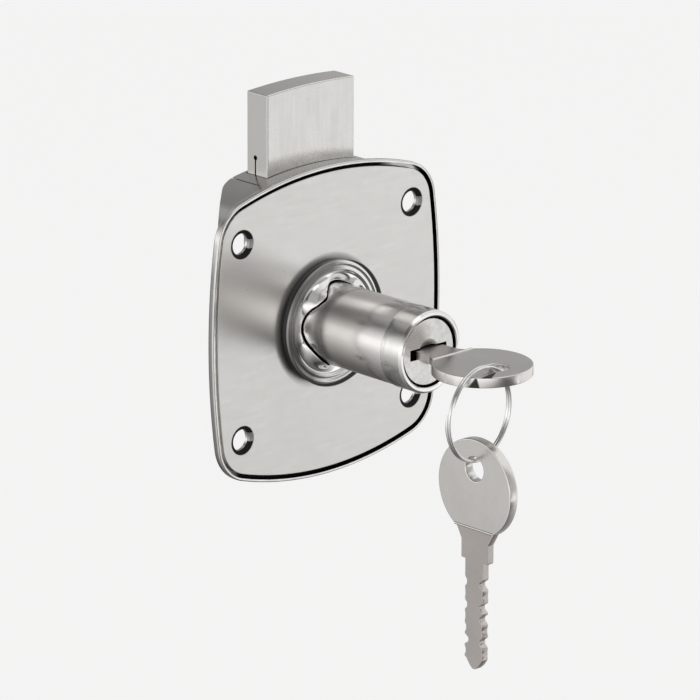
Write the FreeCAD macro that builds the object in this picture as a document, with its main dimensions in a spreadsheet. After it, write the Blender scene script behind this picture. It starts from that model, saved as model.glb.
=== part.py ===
import FreeCAD, Part
import math
import os
import Sketcher

# Cabinet lock with a thrown flat bolt, a round key cylinder, its key in
# the keyway and a spare key on a split ring.
# X runs to the right seen from the front, the barrel points along -Y,
# Z is up. The origin is the middle of the four screw holes, where the
# axis of the cylinder meets the front face of the plate.

V = FreeCAD.Vector
doc = FreeCAD.newDocument("CabinetLock")
sheet = doc.addObject("Spreadsheet::Sheet", "sizes")

# Driving sizes in millimetres, and counts and angles where the note says so.
SIZES = {
    "plate_half_width": 36.0,  # half width of the front plate at its middle
    "plate_half_height": 37.2,  # half height of the front plate at its middle
    "side_bow_radius": 180,  # radius of the bowed left and right edges
    "top_bow_radius": 95,  # radius of the bowed top and bottom edges
    "corner_radius": 9,  # radius of the plate corners
    "plate_thickness": 1.2,  # sheet of the front plate
    "plate_edge_bevel": 0.3,  # bevel round the front edge of the plate
    "screw_spacing_x": 56,  # distance between screw holes across
    "screw_spacing_z": 49,  # distance between screw holes up
    "screw_hole_radius": 2.7,  # bore of a screw hole
    "rim_gap": 1.0,  # gap between plate edge and rim
    "rim_wall": 0.7,  # wall of the rolled rim
    "rim_proud": 0.25,  # rim standing in front of the plate face
    "rim_back_round": 1.0,  # rounding of the rim at its back
    "rim_front_round": 0.3,  # rounding of the rim at its front
    "cover_sheet": 0.8,  # sheet of the back cover and the bolt case
    "top_wall_step": 0.7,  # top wall of the cover below the rim
    "top_wall_sheet": 1.2,  # thickness of that wall
    "top_wall_left": 21,  # top wall left of the middle at its back
    "top_wall_left_foot": 34,  # top wall left of the middle at the flange
    "top_wall_right": 16.2,  # top wall right of the middle
    "top_wall_left_round": 11,  # rounding of its left back corner
    "top_wall_right_round": 2,  # rounding of its right back corner
    "case_bottom": 31,  # bottom of the bolt case below the axis
    "case_corner_radius": 3,  # corner radius of the bolt case
    "case_back_round": 1.8,  # rounding of the bolt case at its back
    "case_inner_round": 0.5,  # rounding inside the back of the bolt case
    "case_gap": 0.05,  # bolt case under the top wall
    "case_tab_width": 6.5,  # rivet tabs beside the bolt case
    "case_tab_height": 9,  # height of a rivet tab
    "case_tab_top": 14,  # upper tabs above the axis
    "case_tab_low": 20,  # lower tabs below the axis
    "flange_opening_top": 34,  # opening of the flange above the axis
    "seam_offset": 18.4,  # seam across the top wall left of the middle
    "seam_width": 0.35,  # width of that seam
    "seam_depth": 0.4,  # depth of that seam
    "seam_start": 2.6,  # flange to the start of that seam
    "foot_radius": 13.5,  # rear foot of the cylinder body
    "foot_thickness": 1.8,  # thickness of that foot
    "clip_gap": 0.25,  # foot to clip
    "clip_thickness": 0.7,  # retaining clip
    "clip_radius": 7.4,  # outside of the retaining clip
    "clip_groove_depth": 1.1,  # groove for the clip in the plug
    "clip_mouth": 4.2,  # half opening of the clip
    "cam_gap": 0.65,  # clip to cam
    "cam_thickness": 2.0,  # crank sheet
    "cam_hub_radius": 8.0,  # hub of the crank
    "cam_arm_wall": 1.6,  # crank metal round the drive pin
    "cam_square_half": 3.0,  # half of the square drive on the plug tail
    "square_gap": 0.05,  # fit of the square
    "washer_thickness": 0.4,  # washer under the cam screw
    "washer_radius": 4.2,  # outside of that washer
    "cam_screw_head": 1.0,  # height of the cam screw head
    "cam_screw_head_radius": 2.8,  # radius of that head
    "cam_screw_radius": 1.5,  # thread radius of the cam screw
    "cam_screw_depth": 5.6,  # thread length in the plug
    "screw_slot_width": 0.8,  # driver slot of the cam screw
    "throw": 20.5,  # travel of the bolt
    "pin_radius": 2.0,  # drive pin
    "pin_head_radius": 2.5,  # riveted head of the drive pin
    "pin_head_height": 0.5,  # height of that head
    "pin_end_gap": 0.5,  # end of the drive pin to the back wall
    "slot_clearance": 0.14,  # pin play in the cross slot
    "slot_end_gap": 0.3,  # pin end play at the ends of the cross slot
    "tail_thickness": 4.8,  # thickness of the bolt tail
    "tail_gap": 0.4,  # cam screw to bolt tail
    "back_gap": 0.3,  # bolt to the back wall
    "bolt_half_width": 14.35,  # half width of the bolt head
    "bolt_thickness": 7.2,  # thickness of the bolt head
    "bolt_flush": 0.05,  # bolt corner below the case top when drawn back
    "bolt_arch_radius": 170,  # arch of the bolt end
    "bolt_round": 0.35,  # rounding of the bolt edges
    "step_drop": 1.8,  # thick head of the bolt starts below the case top
    "bolt_slot_gap": 0.25,  # play of the bolt in its case
    "tail_end_gap": 1.5,  # drawn bolt to the case bottom
    "slit_back": 4.2,  # side slit behind the bolt face
    "slit_width": 0.45,  # width of the side slit
    "slit_depth": 1.2,  # depth of the side slit
    "slit_rise": 4.3,  # side slit above the case top
    "slit_eye_radius": 0.62,  # round end of the side slit
    "guide_width": 2.1,  # strips in front of the bolt tail
    "guide_gap": 0.3,  # strip to tail
    "guide_thickness": 0.7,  # thickness of the strips
    "guide_top_gap": 1.2,  # strips below the drawn head
    "guide_bottom_gap": 2.8,  # strips above the case bottom
    "case_rivet_radius": 1.25,  # rivets of the bolt case
    "case_rivet_head_radius": 2.2,  # head of those rivets
    "case_rivet_head_height": 0.6,  # height of those heads
    "stump_spigot_radius": 1.5,  # riveted end of the guide stump
    "stump_head_radius": 2.4,  # head of the guide stump
    "stump_head_height": 0.7,  # height of that head
    "stump_radius": 2.0,  # guide stump for the bolt tail
    "stump_rise": 8.0,  # stump above the case bottom
    "stump_gap": 0.3,  # stump in its slot
    "barrel_radius": 10.0,  # outside of the barrel sleeve
    "barrel_length": 35.8,  # plate face to tip of the barrel
    "sleeve_wall": 0.55,  # wall of the barrel sleeve
    "sleeve_gap": 0.05,  # sleeve over body
    "cap_length": 6.8,  # front cap
    "cap_step": 0.2,  # cap standing over the sleeve
    "cap_front_bevel": 0.55,  # bevel at the tip
    "cap_back_bevel": 0.15,  # bevel at the seam
    "cap_groove_width": 0.25,  # turned lines on the cap
    "cap_groove_depth": 0.12,  # depth of the turned lines
    "plug_head_radius": 8.45,  # visible head of the plug
    "plug_head_gap": 0.2,  # ring gap round the plug head
    "plug_head_length": 3.1,  # length of the plug head
    "plug_recess": 0.7,  # plug face behind the tip
    "plug_radius": 6.0,  # plug shank
    "bore_gap": 0.05,  # plug in its bore
    "head_seat_gap": 0.15,  # plug head to body
    "dish_radius": 6.6,  # ball radius of the dish round the keyway
    "dish_depth": 0.8,  # depth of that dish
    "mouth_half_width": 6.0,  # half width of the wide mouth of the keyway
    "mouth_half_height": 1.35,  # half height of that mouth
    "mouth_depth": 1.2,  # depth of that mouth
    "keyway_gap": 0.2,  # key blade to keyway
    "keyway_end_gap": 1.5,  # blade tip to keyway end
    "wafer_count": 7,  # tumblers
    "wafer_pitch": 2.9,  # spacing of the tumblers
    "wafer_first": 2.4,  # plug head to first tumbler
    "wafer_thickness": 1.0,  # tumbler sheet
    "wafer_half_height": 2.6,  # half height of a tumbler
    "wafer_slot_gap": 0.12,  # tumbler in its slot
    "wafer_edge_gap": 0.1,  # tumbler end below the plug surface
    "wafer_travel": 0.9,  # tumbler travel
    "wafer_window_gap": 0.35,  # blade in the tumbler window
    "wafer_lug_half": 0.4,  # spring lug of a tumbler
    "wafer_lug_rise": 1.3,  # height of the spring lug
    "wafer_spring_radius": 0.42,  # tumbler spring
    "wafer_spring_length": 1.9,  # tumbler spring
    "groove_gap": 0.3,  # tumbler tips to relief in the body
    "groove_side_gap": 0.7,  # relief beyond the outer tumblers
    "rivet_circle": 11.6,  # circle of the body rivets
    "rivet_radius": 1.1,  # body rivet
    "rivet_head_radius": 1.9,  # head of a body rivet
    "rivet_head_height": 0.5,  # height of that head
    "collar_radius": 15.4,  # outside of the polished collar
    "collar_step_height": 0.9,  # lower step of the collar
    "collar_step_width": 0.8,  # width of the lower step
    "collar_rise": 1.7,  # height of the upper step
    "collar_bead_inset": 1.75,  # crest of the collar bead from the edge
    "collar_bead_radius": 0.85,  # radius of the collar bead
    "collar_dish_width": 2.3,  # width of the hollow inside the bead
    "collar_dish_floor": 2.0,  # thickness of the collar at the barrel
    "collar_margin": 0.2,  # collar front to the start of the sleeve
    "lobe_radius": 3.4,  # crimp lobes of the collar
    "lobe_circle": 12.4,  # circle of the crimp lobes
    "lobe_height": 2.35,  # height of the crimp lobes
    "bow_radius": 12.1,  # key bow
    "bow_thickness": 2.6,  # thickness of the bow
    "bow_chord": 10.2,  # straight end of the thick bow
    "bow_edge_round": 0.3,  # rounding of the bow edge
    "bow_hole_radius": 3.0,  # ring hole of the bow
    "bow_hole_offset": 4.8,  # ring hole from the bow middle
    "neck_end": 13.4,  # end of the taper below the bow
    "shoulder_half_width": 4.45,  # key shoulder
    "shoulder_distance": 18.1,  # bow middle to shoulder stop
    "key_stop_gap": 0.2,  # shoulder to plug face
    "blade_half_width": 3.1,  # key blade
    "blade_thickness": 2.0,  # thickness of neck and blade
    "blade_length": 27.3,  # shoulder to tip
    "cut_first": 5.7,  # shoulder to first cut
    "cut_half_width": 0.6,  # half width of a cut
    "left_cut_1": 1.15,  # depths of the cuts on one edge
    "left_cut_2": 0.1,  # second
    "left_cut_3": 1.15,  # third
    "left_cut_4": 1.0,  # fourth
    "left_cut_5": 0.25,  # fifth
    "left_cut_6": 0.95,  # sixth
    "left_cut_7": 0.05,  # seventh
    "right_cut_1": 0.65,  # depths of the cuts on the other edge
    "right_cut_2": 0.15,  # second
    "right_cut_3": 0.75,  # third
    "right_cut_4": 0.2,  # fourth
    "right_cut_5": 0.5,  # fifth
    "right_cut_6": 1.3,  # sixth
    "right_cut_7": 0.4,  # seventh
    "tip_length": 2.7,  # tapered tip of the blade
    "tip_half_width": 0.6,  # half width of the tip
    "ring_radius": 11.4,  # middle of the ring wire
    "ring_wire_radius": 0.36,  # ring wire
    "ring_pitch": 0.78,  # step of one turn to the next
    "ring_turns": 1.97,  # turns of the ring
    "ring_start_angle": 158.5,  # place of the wire ends
    "ring_yaw": 7.4,  # twist of the ring about the vertical
    "ring_shift_x": 6.55,  # ring middle left of the key axis
    "ring_shift_y": 0.95,  # ring middle in front of the bow hole
    "ring_drop": 8.6,  # ring middle below the key
    "spare_hang": 2.05,  # hole middle of the spare key below the ring wire
    "spare_shift_y": 0.16,  # spare key behind the ring middle, between the two wires
}


class Size:
    """A length that keeps the text binding it to the sheet and its value."""

    def __init__(self, text, value):
        self.text = text
        self.value = value

    def __add__(self, other):
        other = size(other)
        return Size("(%s + %s)" % (self.text, other.text), self.value + other.value)

    def __radd__(self, other):
        return size(other) + self

    def __sub__(self, other):
        other = size(other)
        return Size("(%s - %s)" % (self.text, other.text), self.value - other.value)

    def __rsub__(self, other):
        return size(other) - self

    def __mul__(self, other):
        other = size(other)
        return Size("(%s * %s)" % (self.text, other.text), self.value * other.value)

    def __rmul__(self, other):
        return size(other) * self

    def __truediv__(self, other):
        other = size(other)
        return Size("(%s / %s)" % (self.text, other.text), self.value / other.value)

    def __neg__(self):
        return Size("(0 - %s)" % self.text, -self.value)


def size(item):
    """Any number as a Size."""
    if isinstance(item, Size):
        return item
    return Size("%.6f" % item, float(item))


class Names:
    """The driving sizes by name."""


sz = Names()
for row, (alias, number) in enumerate(SIZES.items(), 1):
    sheet.set("A%d" % row, alias)
    sheet.set("B%d" % row, str(number))
    sheet.setAlias("B%d" % row, alias)
    setattr(sz, alias, Size("sizes." + alias, float(number)))
doc.recompute()


def bind(item, prop, value):
    """Bind one property of an object to a size."""
    item.setExpression(prop, size(value).text)


def settle(item, x, y, z):
    """Bind the position of an object."""
    bind(item, "Placement.Base.x", x)
    bind(item, "Placement.Base.y", y)
    bind(item, "Placement.Base.z", z)


def block(name, x0, x1, y0, y1, z0, z1):
    """Box between two corners."""
    item = doc.addObject("Part::Box", name)
    bind(item, "Length", size(x1) - x0)
    bind(item, "Width", size(y1) - y0)
    bind(item, "Height", size(z1) - z0)
    settle(item, x0, y0, z0)
    return item


ALONG_Y = FreeCAD.Rotation(V(1, 0, 0), -90)
ALONG_X = FreeCAD.Rotation(V(0, 1, 0), 90)


def rod(name, radius, y0, y1, x=0, z=0):
    """Cylinder along Y."""
    item = doc.addObject("Part::Cylinder", name)
    item.Placement = FreeCAD.Placement(V(0, 0, 0), ALONG_Y)
    bind(item, "Radius", radius)
    bind(item, "Height", size(y1) - y0)
    settle(item, x, y0, z)
    return item


def taper(name, radius0, radius1, y0, y1, x=0, z=0):
    """Cone along Y from one radius to the other."""
    item = doc.addObject("Part::Cone", name)
    item.Placement = FreeCAD.Placement(V(0, 0, 0), ALONG_Y)
    bind(item, "Radius1", radius0)
    bind(item, "Radius2", radius1)
    bind(item, "Height", size(y1) - y0)
    settle(item, x, y0, z)
    return item


def across(name, radius, x0, x1, y, z):
    """Cylinder along X."""
    item = doc.addObject("Part::Cylinder", name)
    item.Placement = FreeCAD.Placement(V(0, 0, 0), ALONG_X)
    bind(item, "Radius", radius)
    bind(item, "Height", size(x1) - x0)
    settle(item, x0, y, z)
    return item


def join(name, *items):
    """Union of several pieces."""
    item = doc.addObject("Part::MultiFuse", name)
    item.Shapes = list(items)
    return item


def overlap(name, *items):
    """Common part of several pieces."""
    item = doc.addObject("Part::MultiCommon", name)
    item.Shapes = list(items)
    return item


def group(name, *items):
    """Separate solids kept together."""
    item = doc.addObject("Part::Compound", name)
    item.Links = list(items)
    return item


def cut(name, base, *tools):
    """First piece less the others."""
    item = doc.addObject("Part::Cut", name)
    item.Base = base
    item.Tool = tools[0] if len(tools) == 1 else group(name + "_tools", *tools)
    return item


def origin_plane(body, role):
    """Origin plane of a body by its role."""
    for feature in body.Origin.OriginFeatures:
        if feature.Role == role:
            return feature
    raise ValueError("no plane " + role)


def new_body(name):
    """Empty body."""
    return doc.addObject("PartDesign::Body", name)


def new_sketch(body, name, role, offset=None):
    """Sketch on an origin plane, moved along its normal."""
    sketch = body.newObject("Sketcher::SketchObject", name)
    sketch.AttachmentSupport = [(origin_plane(body, role), "")]
    sketch.MapMode = "FlatFace"
    if offset is not None:
        bind(sketch, "AttachmentOffset.Base.z", offset)
    return sketch


def hold(sketch, kind, *args):
    """Sketch constraint; a last Size argument is bound to the sheet."""
    if isinstance(args[-1], Size):
        index = sketch.addConstraint(Sketcher.Constraint(kind, *args[:-1], args[-1].value))
        sketch.setExpression("Constraints[%d]" % index, args[-1].text)
    else:
        sketch.addConstraint(Sketcher.Constraint(kind, *args))


def pin_point(sketch, geo, end, u, v):
    """Fix a sketch point at a bound place."""
    hold(sketch, "DistanceX", -1, 1, geo, end, size(u))
    hold(sketch, "DistanceY", -1, 1, geo, end, size(v))


def polygon(sketch, points):
    """Closed polygon with every corner bound."""
    points = [(size(u), size(v)) for u, v in points]
    first = sketch.GeometryCount
    for i, (u, v) in enumerate(points):
        nu, nv = points[(i + 1) % len(points)]
        sketch.addGeometry(Part.LineSegment(V(u.value, v.value, 0), V(nu.value, nv.value, 0)), False)
    for i, (u, v) in enumerate(points):
        before = first + (i - 1) % len(points)
        hold(sketch, "Coincident", before, 2, first + i, 1)
    for i, (u, v) in enumerate(points):
        pin_point(sketch, first + i, 1, u, v)


def circle(sketch, u, v, radius):
    """Bound circle."""
    radius = size(radius)
    index = sketch.addGeometry(
        Part.Circle(V(size(u).value, size(v).value, 0), V(0, 0, 1), radius.value), False)
    hold(sketch, "Radius", index, radius)
    pin_point(sketch, index, 3, u, v)


def bowed_outline(sketch, grow):
    """Plate outline of four arcs, grown outward by a bound distance."""
    side = sz.side_bow_radius + grow
    top = sz.top_bow_radius + grow
    side_middle = sz.side_bow_radius - sz.plate_half_width
    top_middle = sz.top_bow_radius - sz.plate_half_height
    x = (sz.plate_half_width + grow).value
    z = (sz.plate_half_height + grow).value
    for step in range(60):
        z = math.sqrt(top.value ** 2 - x ** 2) - top_middle.value
        x = math.sqrt(side.value ** 2 - z ** 2) - side_middle.value
    lift = math.atan2(z + top_middle.value, x)
    swing = math.atan2(z, x + side_middle.value)

    def arc(u, v, radius, start, end):
        whole = Part.Circle(V(u, v, 0), V(0, 0, 1), radius)
        return sketch.addGeometry(Part.ArcOfCircle(whole, start, end), False)

    upper = arc(0, -top_middle.value, top.value, lift, math.pi - lift)
    left = arc(side_middle.value, 0, side.value, math.pi - swing, math.pi + swing)
    lower = arc(0, top_middle.value, top.value, math.pi + lift, 2 * math.pi - lift)
    right = arc(-side_middle.value, 0, side.value, -swing, swing)
    for one, two in ((upper, left), (left, lower), (lower, right), (right, upper)):
        hold(sketch, "Coincident", one, 2, two, 1)
    for geo, u, v, radius in ((upper, 0, -top_middle, top), (left, side_middle, 0, side),
                              (lower, 0, top_middle, top), (right, -side_middle, 0, side)):
        hold(sketch, "Radius", geo, radius)
        if isinstance(u, Size):
            hold(sketch, "DistanceX", -1, 1, geo, 3, u)
            hold(sketch, "PointOnObject", geo, 3, -1)
        else:
            hold(sketch, "DistanceY", -1, 1, geo, 3, v)
            hold(sketch, "PointOnObject", geo, 3, -2)


def pad(body, sketch, name, length, back=True, middle=False):
    """Pad of a sketch, towards +Y or about its plane."""
    item = body.newObject("PartDesign::Pad", name)
    item.Profile = sketch
    bind(item, "Length", length)
    item.Reversed = back
    item.Midplane = middle
    doc.recompute()
    return item


def edges_where(feature, test):
    """Names of the edges that pass a test."""
    found = []
    for index, edge in enumerate(feature.Shape.Edges):
        if test(edge):
            found.append("Edge%d" % (index + 1))
    return found


def soften(body, feature, name, radius, test, kind="Fillet"):
    """Fillet or chamfer of the edges that pass a test."""
    item = body.newObject("PartDesign::" + kind, name)
    item.Base = (feature, edges_where(feature, test))
    bind(item, "Radius" if kind == "Fillet" else "Size", radius)
    doc.recompute()
    return item


def runs_along_y(edge):
    """Straight edge along the depth."""
    box = edge.BoundBox
    return box.XLength < 1e-6 and box.ZLength < 1e-6 and box.YLength > 1e-3


def lies_at_y(place):
    """Test for edges in one plane across the depth."""
    def test(edge):
        box = edge.BoundBox
        return abs(box.YMin - place.value) < 1e-4 and abs(box.YMax - place.value) < 1e-4
    return test


def outline_blank(name, grow, y0, y1, front=None, rear=None, front_kind="Fillet"):
    """Block with the plate outline between two depths."""
    body = new_body(name)
    sketch = new_sketch(body, name + "_outline", "XZ_Plane", -size(y0))
    bowed_outline(sketch, size(grow))
    last = pad(body, sketch, name + "_pad", size(y1) - y0)
    last = soften(body, last, name + "_corners", sz.corner_radius + grow, runs_along_y)
    if rear is not None:
        last = soften(body, last, name + "_rear", rear, lies_at_y(size(y1)))
    if front is not None:
        last = soften(body, last, name + "_front", front, lies_at_y(size(y0)), front_kind)
    return body


# Depths, from the plate face at 0 backwards.
plate_back = sz.plate_thickness
flange_back = plate_back + sz.cover_sheet
foot_back = plate_back + sz.foot_thickness
clip_front = foot_back + sz.clip_gap
clip_back = clip_front + sz.clip_thickness
cam_front = clip_back + sz.cam_gap
cam_back = cam_front + sz.cam_thickness
washer_back = cam_back + sz.washer_thickness
cam_screw_back = washer_back + sz.cam_screw_head
tail_front = cam_screw_back + sz.tail_gap
bolt_back = tail_front + sz.tail_thickness
bolt_front = bolt_back - sz.bolt_thickness
case_inside = bolt_back + sz.back_gap
case_back = case_inside + sz.cover_sheet

# Widths and heights of the lock work.
crank = sz.throw / 2
slot_half_height = sz.pin_radius + 0.2106 * crank + sz.slot_clearance
slot_half_length = crank + sz.pin_radius + sz.slot_end_gap
case_half_inside = sz.bolt_half_width + sz.bolt_slot_gap
case_half_width = case_half_inside + sz.cover_sheet
wall_grow = sz.rim_gap + sz.rim_wall - sz.top_wall_step
bow_drop = (sz.top_bow_radius.value ** 2 - sz.bolt_half_width.value ** 2) ** 0.5
bow_share = 1 - bow_drop / sz.top_bow_radius.value
case_top = sz.plate_half_height + wall_grow - sz.top_bow_radius * bow_share
case_inner_bottom = sz.cover_sheet - sz.case_bottom
tail_top = case_top - sz.step_drop
tail_bottom = case_inner_bottom + sz.throw + sz.tail_end_gap
bolt_corner = case_top + sz.throw - sz.bolt_flush
stump_z = case_inner_bottom + sz.stump_rise
stump_slot_top = stump_z + sz.throw + sz.stump_radius + sz.stump_gap

# Sizes of the barrel, from its tip at the front backwards.
body_radius = sz.barrel_radius - sz.sleeve_wall - sz.sleeve_gap
cap_radius = sz.barrel_radius + sz.cap_step
tip = -sz.barrel_length
cap_back = tip + sz.cap_length
plug_face = tip + sz.plug_recess
plug_head_back = plug_face + sz.plug_head_length
body_front = plug_head_back + sz.head_seat_gap
first_wafer = plug_head_back + sz.wafer_first
last_wafer = first_wafer + sz.wafer_pitch * (sz.wafer_count - 1)
relief_radius = sz.plug_radius + sz.wafer_travel + sz.groove_gap
key_stop = plug_face - sz.key_stop_gap
bow_middle = key_stop - sz.shoulder_distance
blade_tip = key_stop + sz.blade_length
key_hole_y = bow_middle - sz.bow_hole_offset

half_x = sz.screw_spacing_x / 2
half_z = sz.screw_spacing_z / 2
SCREWS = ((-half_x, half_z), (half_x, half_z), (-half_x, -half_z), (half_x, -half_z))
tab_x = case_half_width + sz.case_tab_width / 2
TABS = ((-tab_x, sz.case_tab_top), (tab_x, sz.case_tab_top), (-tab_x, -sz.case_tab_low), (tab_x, -sz.case_tab_low))

# Front plate: bowed outline, barrel hole, four screw holes
# and the holes of the three body rivets.
plate_blank = outline_blank("plate_blank", 0, 0, plate_back, front=sz.plate_edge_bevel, front_kind="Chamfer")
plate_tools = [rod("plate_barrel_hole", body_radius + sz.sleeve_gap, -1, plate_back + 1)]
for i, (x, z) in enumerate(SCREWS):
    plate_tools.append(rod("plate_screw_hole_%d" % i, sz.screw_hole_radius, -1, plate_back + 1, x, z))
RIVETS = []
for angle in (90, 210, 330):
    turn = math.radians(angle)
    RIVETS.append((sz.rivet_circle * math.cos(turn), sz.rivet_circle * math.sin(turn)))
for i, (x, z) in enumerate(RIVETS):
    plate_tools.append(rod("plate_rivet_hole_%d" % i, sz.rivet_radius, -1, plate_back + 1, x, z))
front_plate = cut("front_plate", plate_blank, *plate_tools)

# Back cover: flange and rolled rim round the plate, and a top wall that
# follows the bowed edge, wider on the left where it slopes to the flange.
rim_grow = sz.rim_gap + sz.rim_wall
cover_rim = outline_blank("cover_rim", rim_grow, -sz.rim_proud, flange_back,
                          front=sz.rim_front_round, rear=sz.rim_back_round)
rim_hollow = outline_blank("rim_hollow", sz.rim_gap, -sz.rim_proud - 1, plate_back)
wall_front = plate_back + sz.cover_sheet / 2
wall_outer = outline_blank("wall_outer", wall_grow, wall_front, case_back)
wall_inner = outline_blank("wall_inner", wall_grow - sz.top_wall_sheet, wall_front - 1, case_back + 1)
wall_plan = new_body("wall_plan")
plan = new_sketch(wall_plan, "wall_plan_outline", "XY_Plane", size(0))
polygon(plan, [(-sz.top_wall_left_foot, wall_front - 1), (sz.top_wall_right, wall_front - 1),
               (sz.top_wall_right, case_back), (-sz.top_wall_left, case_back),
               (-sz.top_wall_left_foot, flange_back)])
plan_pad = pad(wall_plan, plan, "wall_plan_pad", sz.plate_half_height + 10, back=False)


def on_plan_corner(side):
    """Test for the upright edge at one back corner of the top wall."""
    def test(edge):
        box = edge.BoundBox
        upright = box.ZLength > 1 and box.XLength < 1e-6
        return upright and abs(box.YMax - case_back.value) < 1e-4 and box.XMax * side > 0
    return test


plan_soft = soften(wall_plan, plan_pad, "wall_plan_left", sz.top_wall_left_round, on_plan_corner(-1))
soften(wall_plan, plan_soft, "wall_plan_right", sz.top_wall_right_round, on_plan_corner(1))
top_wall = overlap("top_wall", cut("top_wall_ring", wall_outer, wall_inner), wall_plan)
opening = (-case_half_inside, case_half_inside)
cover_tools = [rim_hollow]
cover_tools.append(block("bolt_opening", opening[0], opening[1], bolt_front - sz.bolt_slot_gap,
                         case_inside, sz.flange_opening_top - 2, case_top + 6))
cover_tools.append(block("flange_opening", opening[0], opening[1], plate_back - 1, flange_back + 1,
                         case_inner_bottom, sz.flange_opening_top))
for i, (x, z) in enumerate(SCREWS):
    cover_tools.append(rod("cover_screw_hole_%d" % i, sz.screw_hole_radius, 0, case_back, x, z))
for i, (x, z) in enumerate(TABS):
    cover_tools.append(rod("cover_rivet_hole_%d" % i, sz.case_rivet_radius, 0, flange_back + 1, x, z))
# The seam crosses the top wall from front to back, so its floor follows the bow.
seam_drop = (sz.top_bow_radius.value ** 2 - sz.seam_offset.value ** 2) ** 0.5
seam_share = 1 - seam_drop / sz.top_bow_radius.value
seam_floor = sz.plate_half_height + wall_grow - sz.top_bow_radius * seam_share - sz.seam_depth
cover_tools.append(block("seam", -sz.seam_offset - sz.seam_width / 2, sz.seam_width / 2 - sz.seam_offset,
                         flange_back + sz.seam_start, case_back + 1, seam_floor, case_top + 6))
cover_whole = join("cover_whole", cover_rim, top_wall)
back_cover = cut("back_cover", cover_whole, *cover_tools)


def case_blank(name, inset, top, y0, y1, rear):
    """Rounded box of the bolt case, drawn in by a bound distance."""
    body = new_body(name)
    sketch = new_sketch(body, name + "_outline", "XZ_Plane", -size(y0))
    side = case_half_width - inset
    bottom = size(inset) - sz.case_bottom
    polygon(sketch, [(-side, bottom), (side, bottom), (side, top), (-side, top)])
    last = pad(body, sketch, name + "_pad", size(y1) - y0)

    def low_corner(edge):
        return runs_along_y(edge) and edge.BoundBox.ZMax < 0

    def low_back(edge):
        return lies_at_y(size(y1))(edge) and edge.BoundBox.ZMin < top.value - 1

    last = soften(body, last, name + "_corners", sz.case_corner_radius - inset, low_corner)
    soften(body, last, name + "_rear", rear, low_back)
    return body


# Bolt case: a box behind the flange, open at the top under the top wall,
# with four tabs riveted to the flange.
case_high = sz.plate_half_height + 4
case_box = case_blank("case_box", 0, case_high, flange_back, case_back, sz.case_back_round)
case_hollow = case_blank("case_hollow", sz.cover_sheet, case_high + 1, flange_back - 1, case_inside,
                         sz.case_inner_round)
case_limit = outline_blank("case_limit", wall_grow - sz.top_wall_sheet - sz.case_gap,
                           flange_back - 1, case_back + 1)
tabs = []
tab_holes = []
for i, (x, z) in enumerate(TABS):
    reach_x = (tab_x + sz.case_tab_width / 2, case_half_inside + 0.1)
    span = (-reach_x[0], -reach_x[1]) if i % 2 == 0 else (reach_x[1], reach_x[0])
    tabs.append(block("tab_%d" % i, span[0], span[1], flange_back, flange_back + sz.cover_sheet,
                      size(z) - sz.case_tab_height / 2, size(z) + sz.case_tab_height / 2))
    tab_holes.append(rod("tab_hole_%d" % i, sz.case_rivet_radius, flange_back - 1, flange_back + 3, x, z))
bolt_case = cut("bolt_case", overlap("case_trimmed", join("case_tabbed", case_box, *tabs), case_limit),
                case_hollow,
                rod("stump_hole", sz.stump_spigot_radius, case_inside - 0.5, case_back + 1, 0, stump_z),
                *tab_holes)
case_rivet_list = []
for i, (x, z) in enumerate(TABS):
    head_front = flange_back + sz.cover_sheet
    case_rivet_list.append(join("case_rivet_%d" % i,
                                rod("case_rivet_shank_%d" % i, sz.case_rivet_radius, plate_back,
                                    head_front, x, z),
                                rod("case_rivet_head_%d" % i, sz.case_rivet_head_radius, head_front,
                                    head_front + sz.case_rivet_head_height, x, z)))
case_rivets = group("case_rivets", *case_rivet_list)
guide_stump = join("guide_stump", rod("stump_body", sz.stump_radius, tail_front - sz.guide_gap,
                                      case_inside, 0, stump_z),
                   rod("stump_spigot", sz.stump_spigot_radius, case_inside - 0.5, case_back, 0, stump_z),
                   rod("stump_head", sz.stump_head_radius, case_back,
                       case_back + sz.stump_head_height, 0, stump_z))

# Guide strips on the side walls of the case keep the bolt tail back.
guide_back = tail_front - sz.guide_gap
guide_front = guide_back - sz.guide_thickness
guide_top = tail_top - sz.throw - sz.guide_top_gap
guide_bottom = case_inner_bottom + sz.guide_bottom_gap
guides = []
for i, side in enumerate((-1, 1)):
    near = (case_half_inside - sz.guide_width) * side
    far = case_half_inside * side
    span = (near, far) if side > 0 else (far, near)
    guides.append(block("guide_%d" % i, span[0], span[1], guide_front, guide_back,
                        guide_bottom, guide_top))
bolt_guides = group("bolt_guides", *guides)

# Collar: two steps, a polished bead, a hollow that falls to the barrel
# and three crimp lobes that reach the barrel.
bead_circle = sz.collar_radius - sz.collar_bead_inset
bead_front = -sz.collar_rise
dish_radius = bead_circle - sz.collar_bead_radius * 0.6
collar_bead = doc.addObject("Part::Torus", "collar_bead")
collar_bead.Placement = FreeCAD.Placement(V(0, 0, 0), ALONG_Y)
bind(collar_bead, "Radius1", bead_circle)
bind(collar_bead, "Radius2", sz.collar_bead_radius)
bind(collar_bead, "Placement.Base.y", bead_front)
collar_solid = join("collar_solid",
                    rod("collar_base", sz.collar_radius - 0.25, -sz.collar_step_height, 0),
                    taper("collar_base_edge", sz.collar_radius - 0.25, sz.collar_radius,
                          -sz.collar_step_height, 0.25 - sz.collar_step_height),
                    rod("collar_base_foot", sz.collar_radius, 0.25 - sz.collar_step_height, 0),
                    rod("collar_upper", sz.collar_radius - sz.collar_step_width, bead_front, 0),
                    collar_bead)
lobes = []
for i, angle in enumerate((125, 238, 350)):
    turn = math.radians(angle)
    lobes.append(rod("lobe_%d" % i, sz.lobe_radius, -sz.lobe_height, 0,
                     sz.lobe_circle * math.cos(turn), sz.lobe_circle * math.sin(turn)))
collar_inside = rod("collar_inside", dish_radius + 0.4, -sz.lobe_height, 0)
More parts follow.
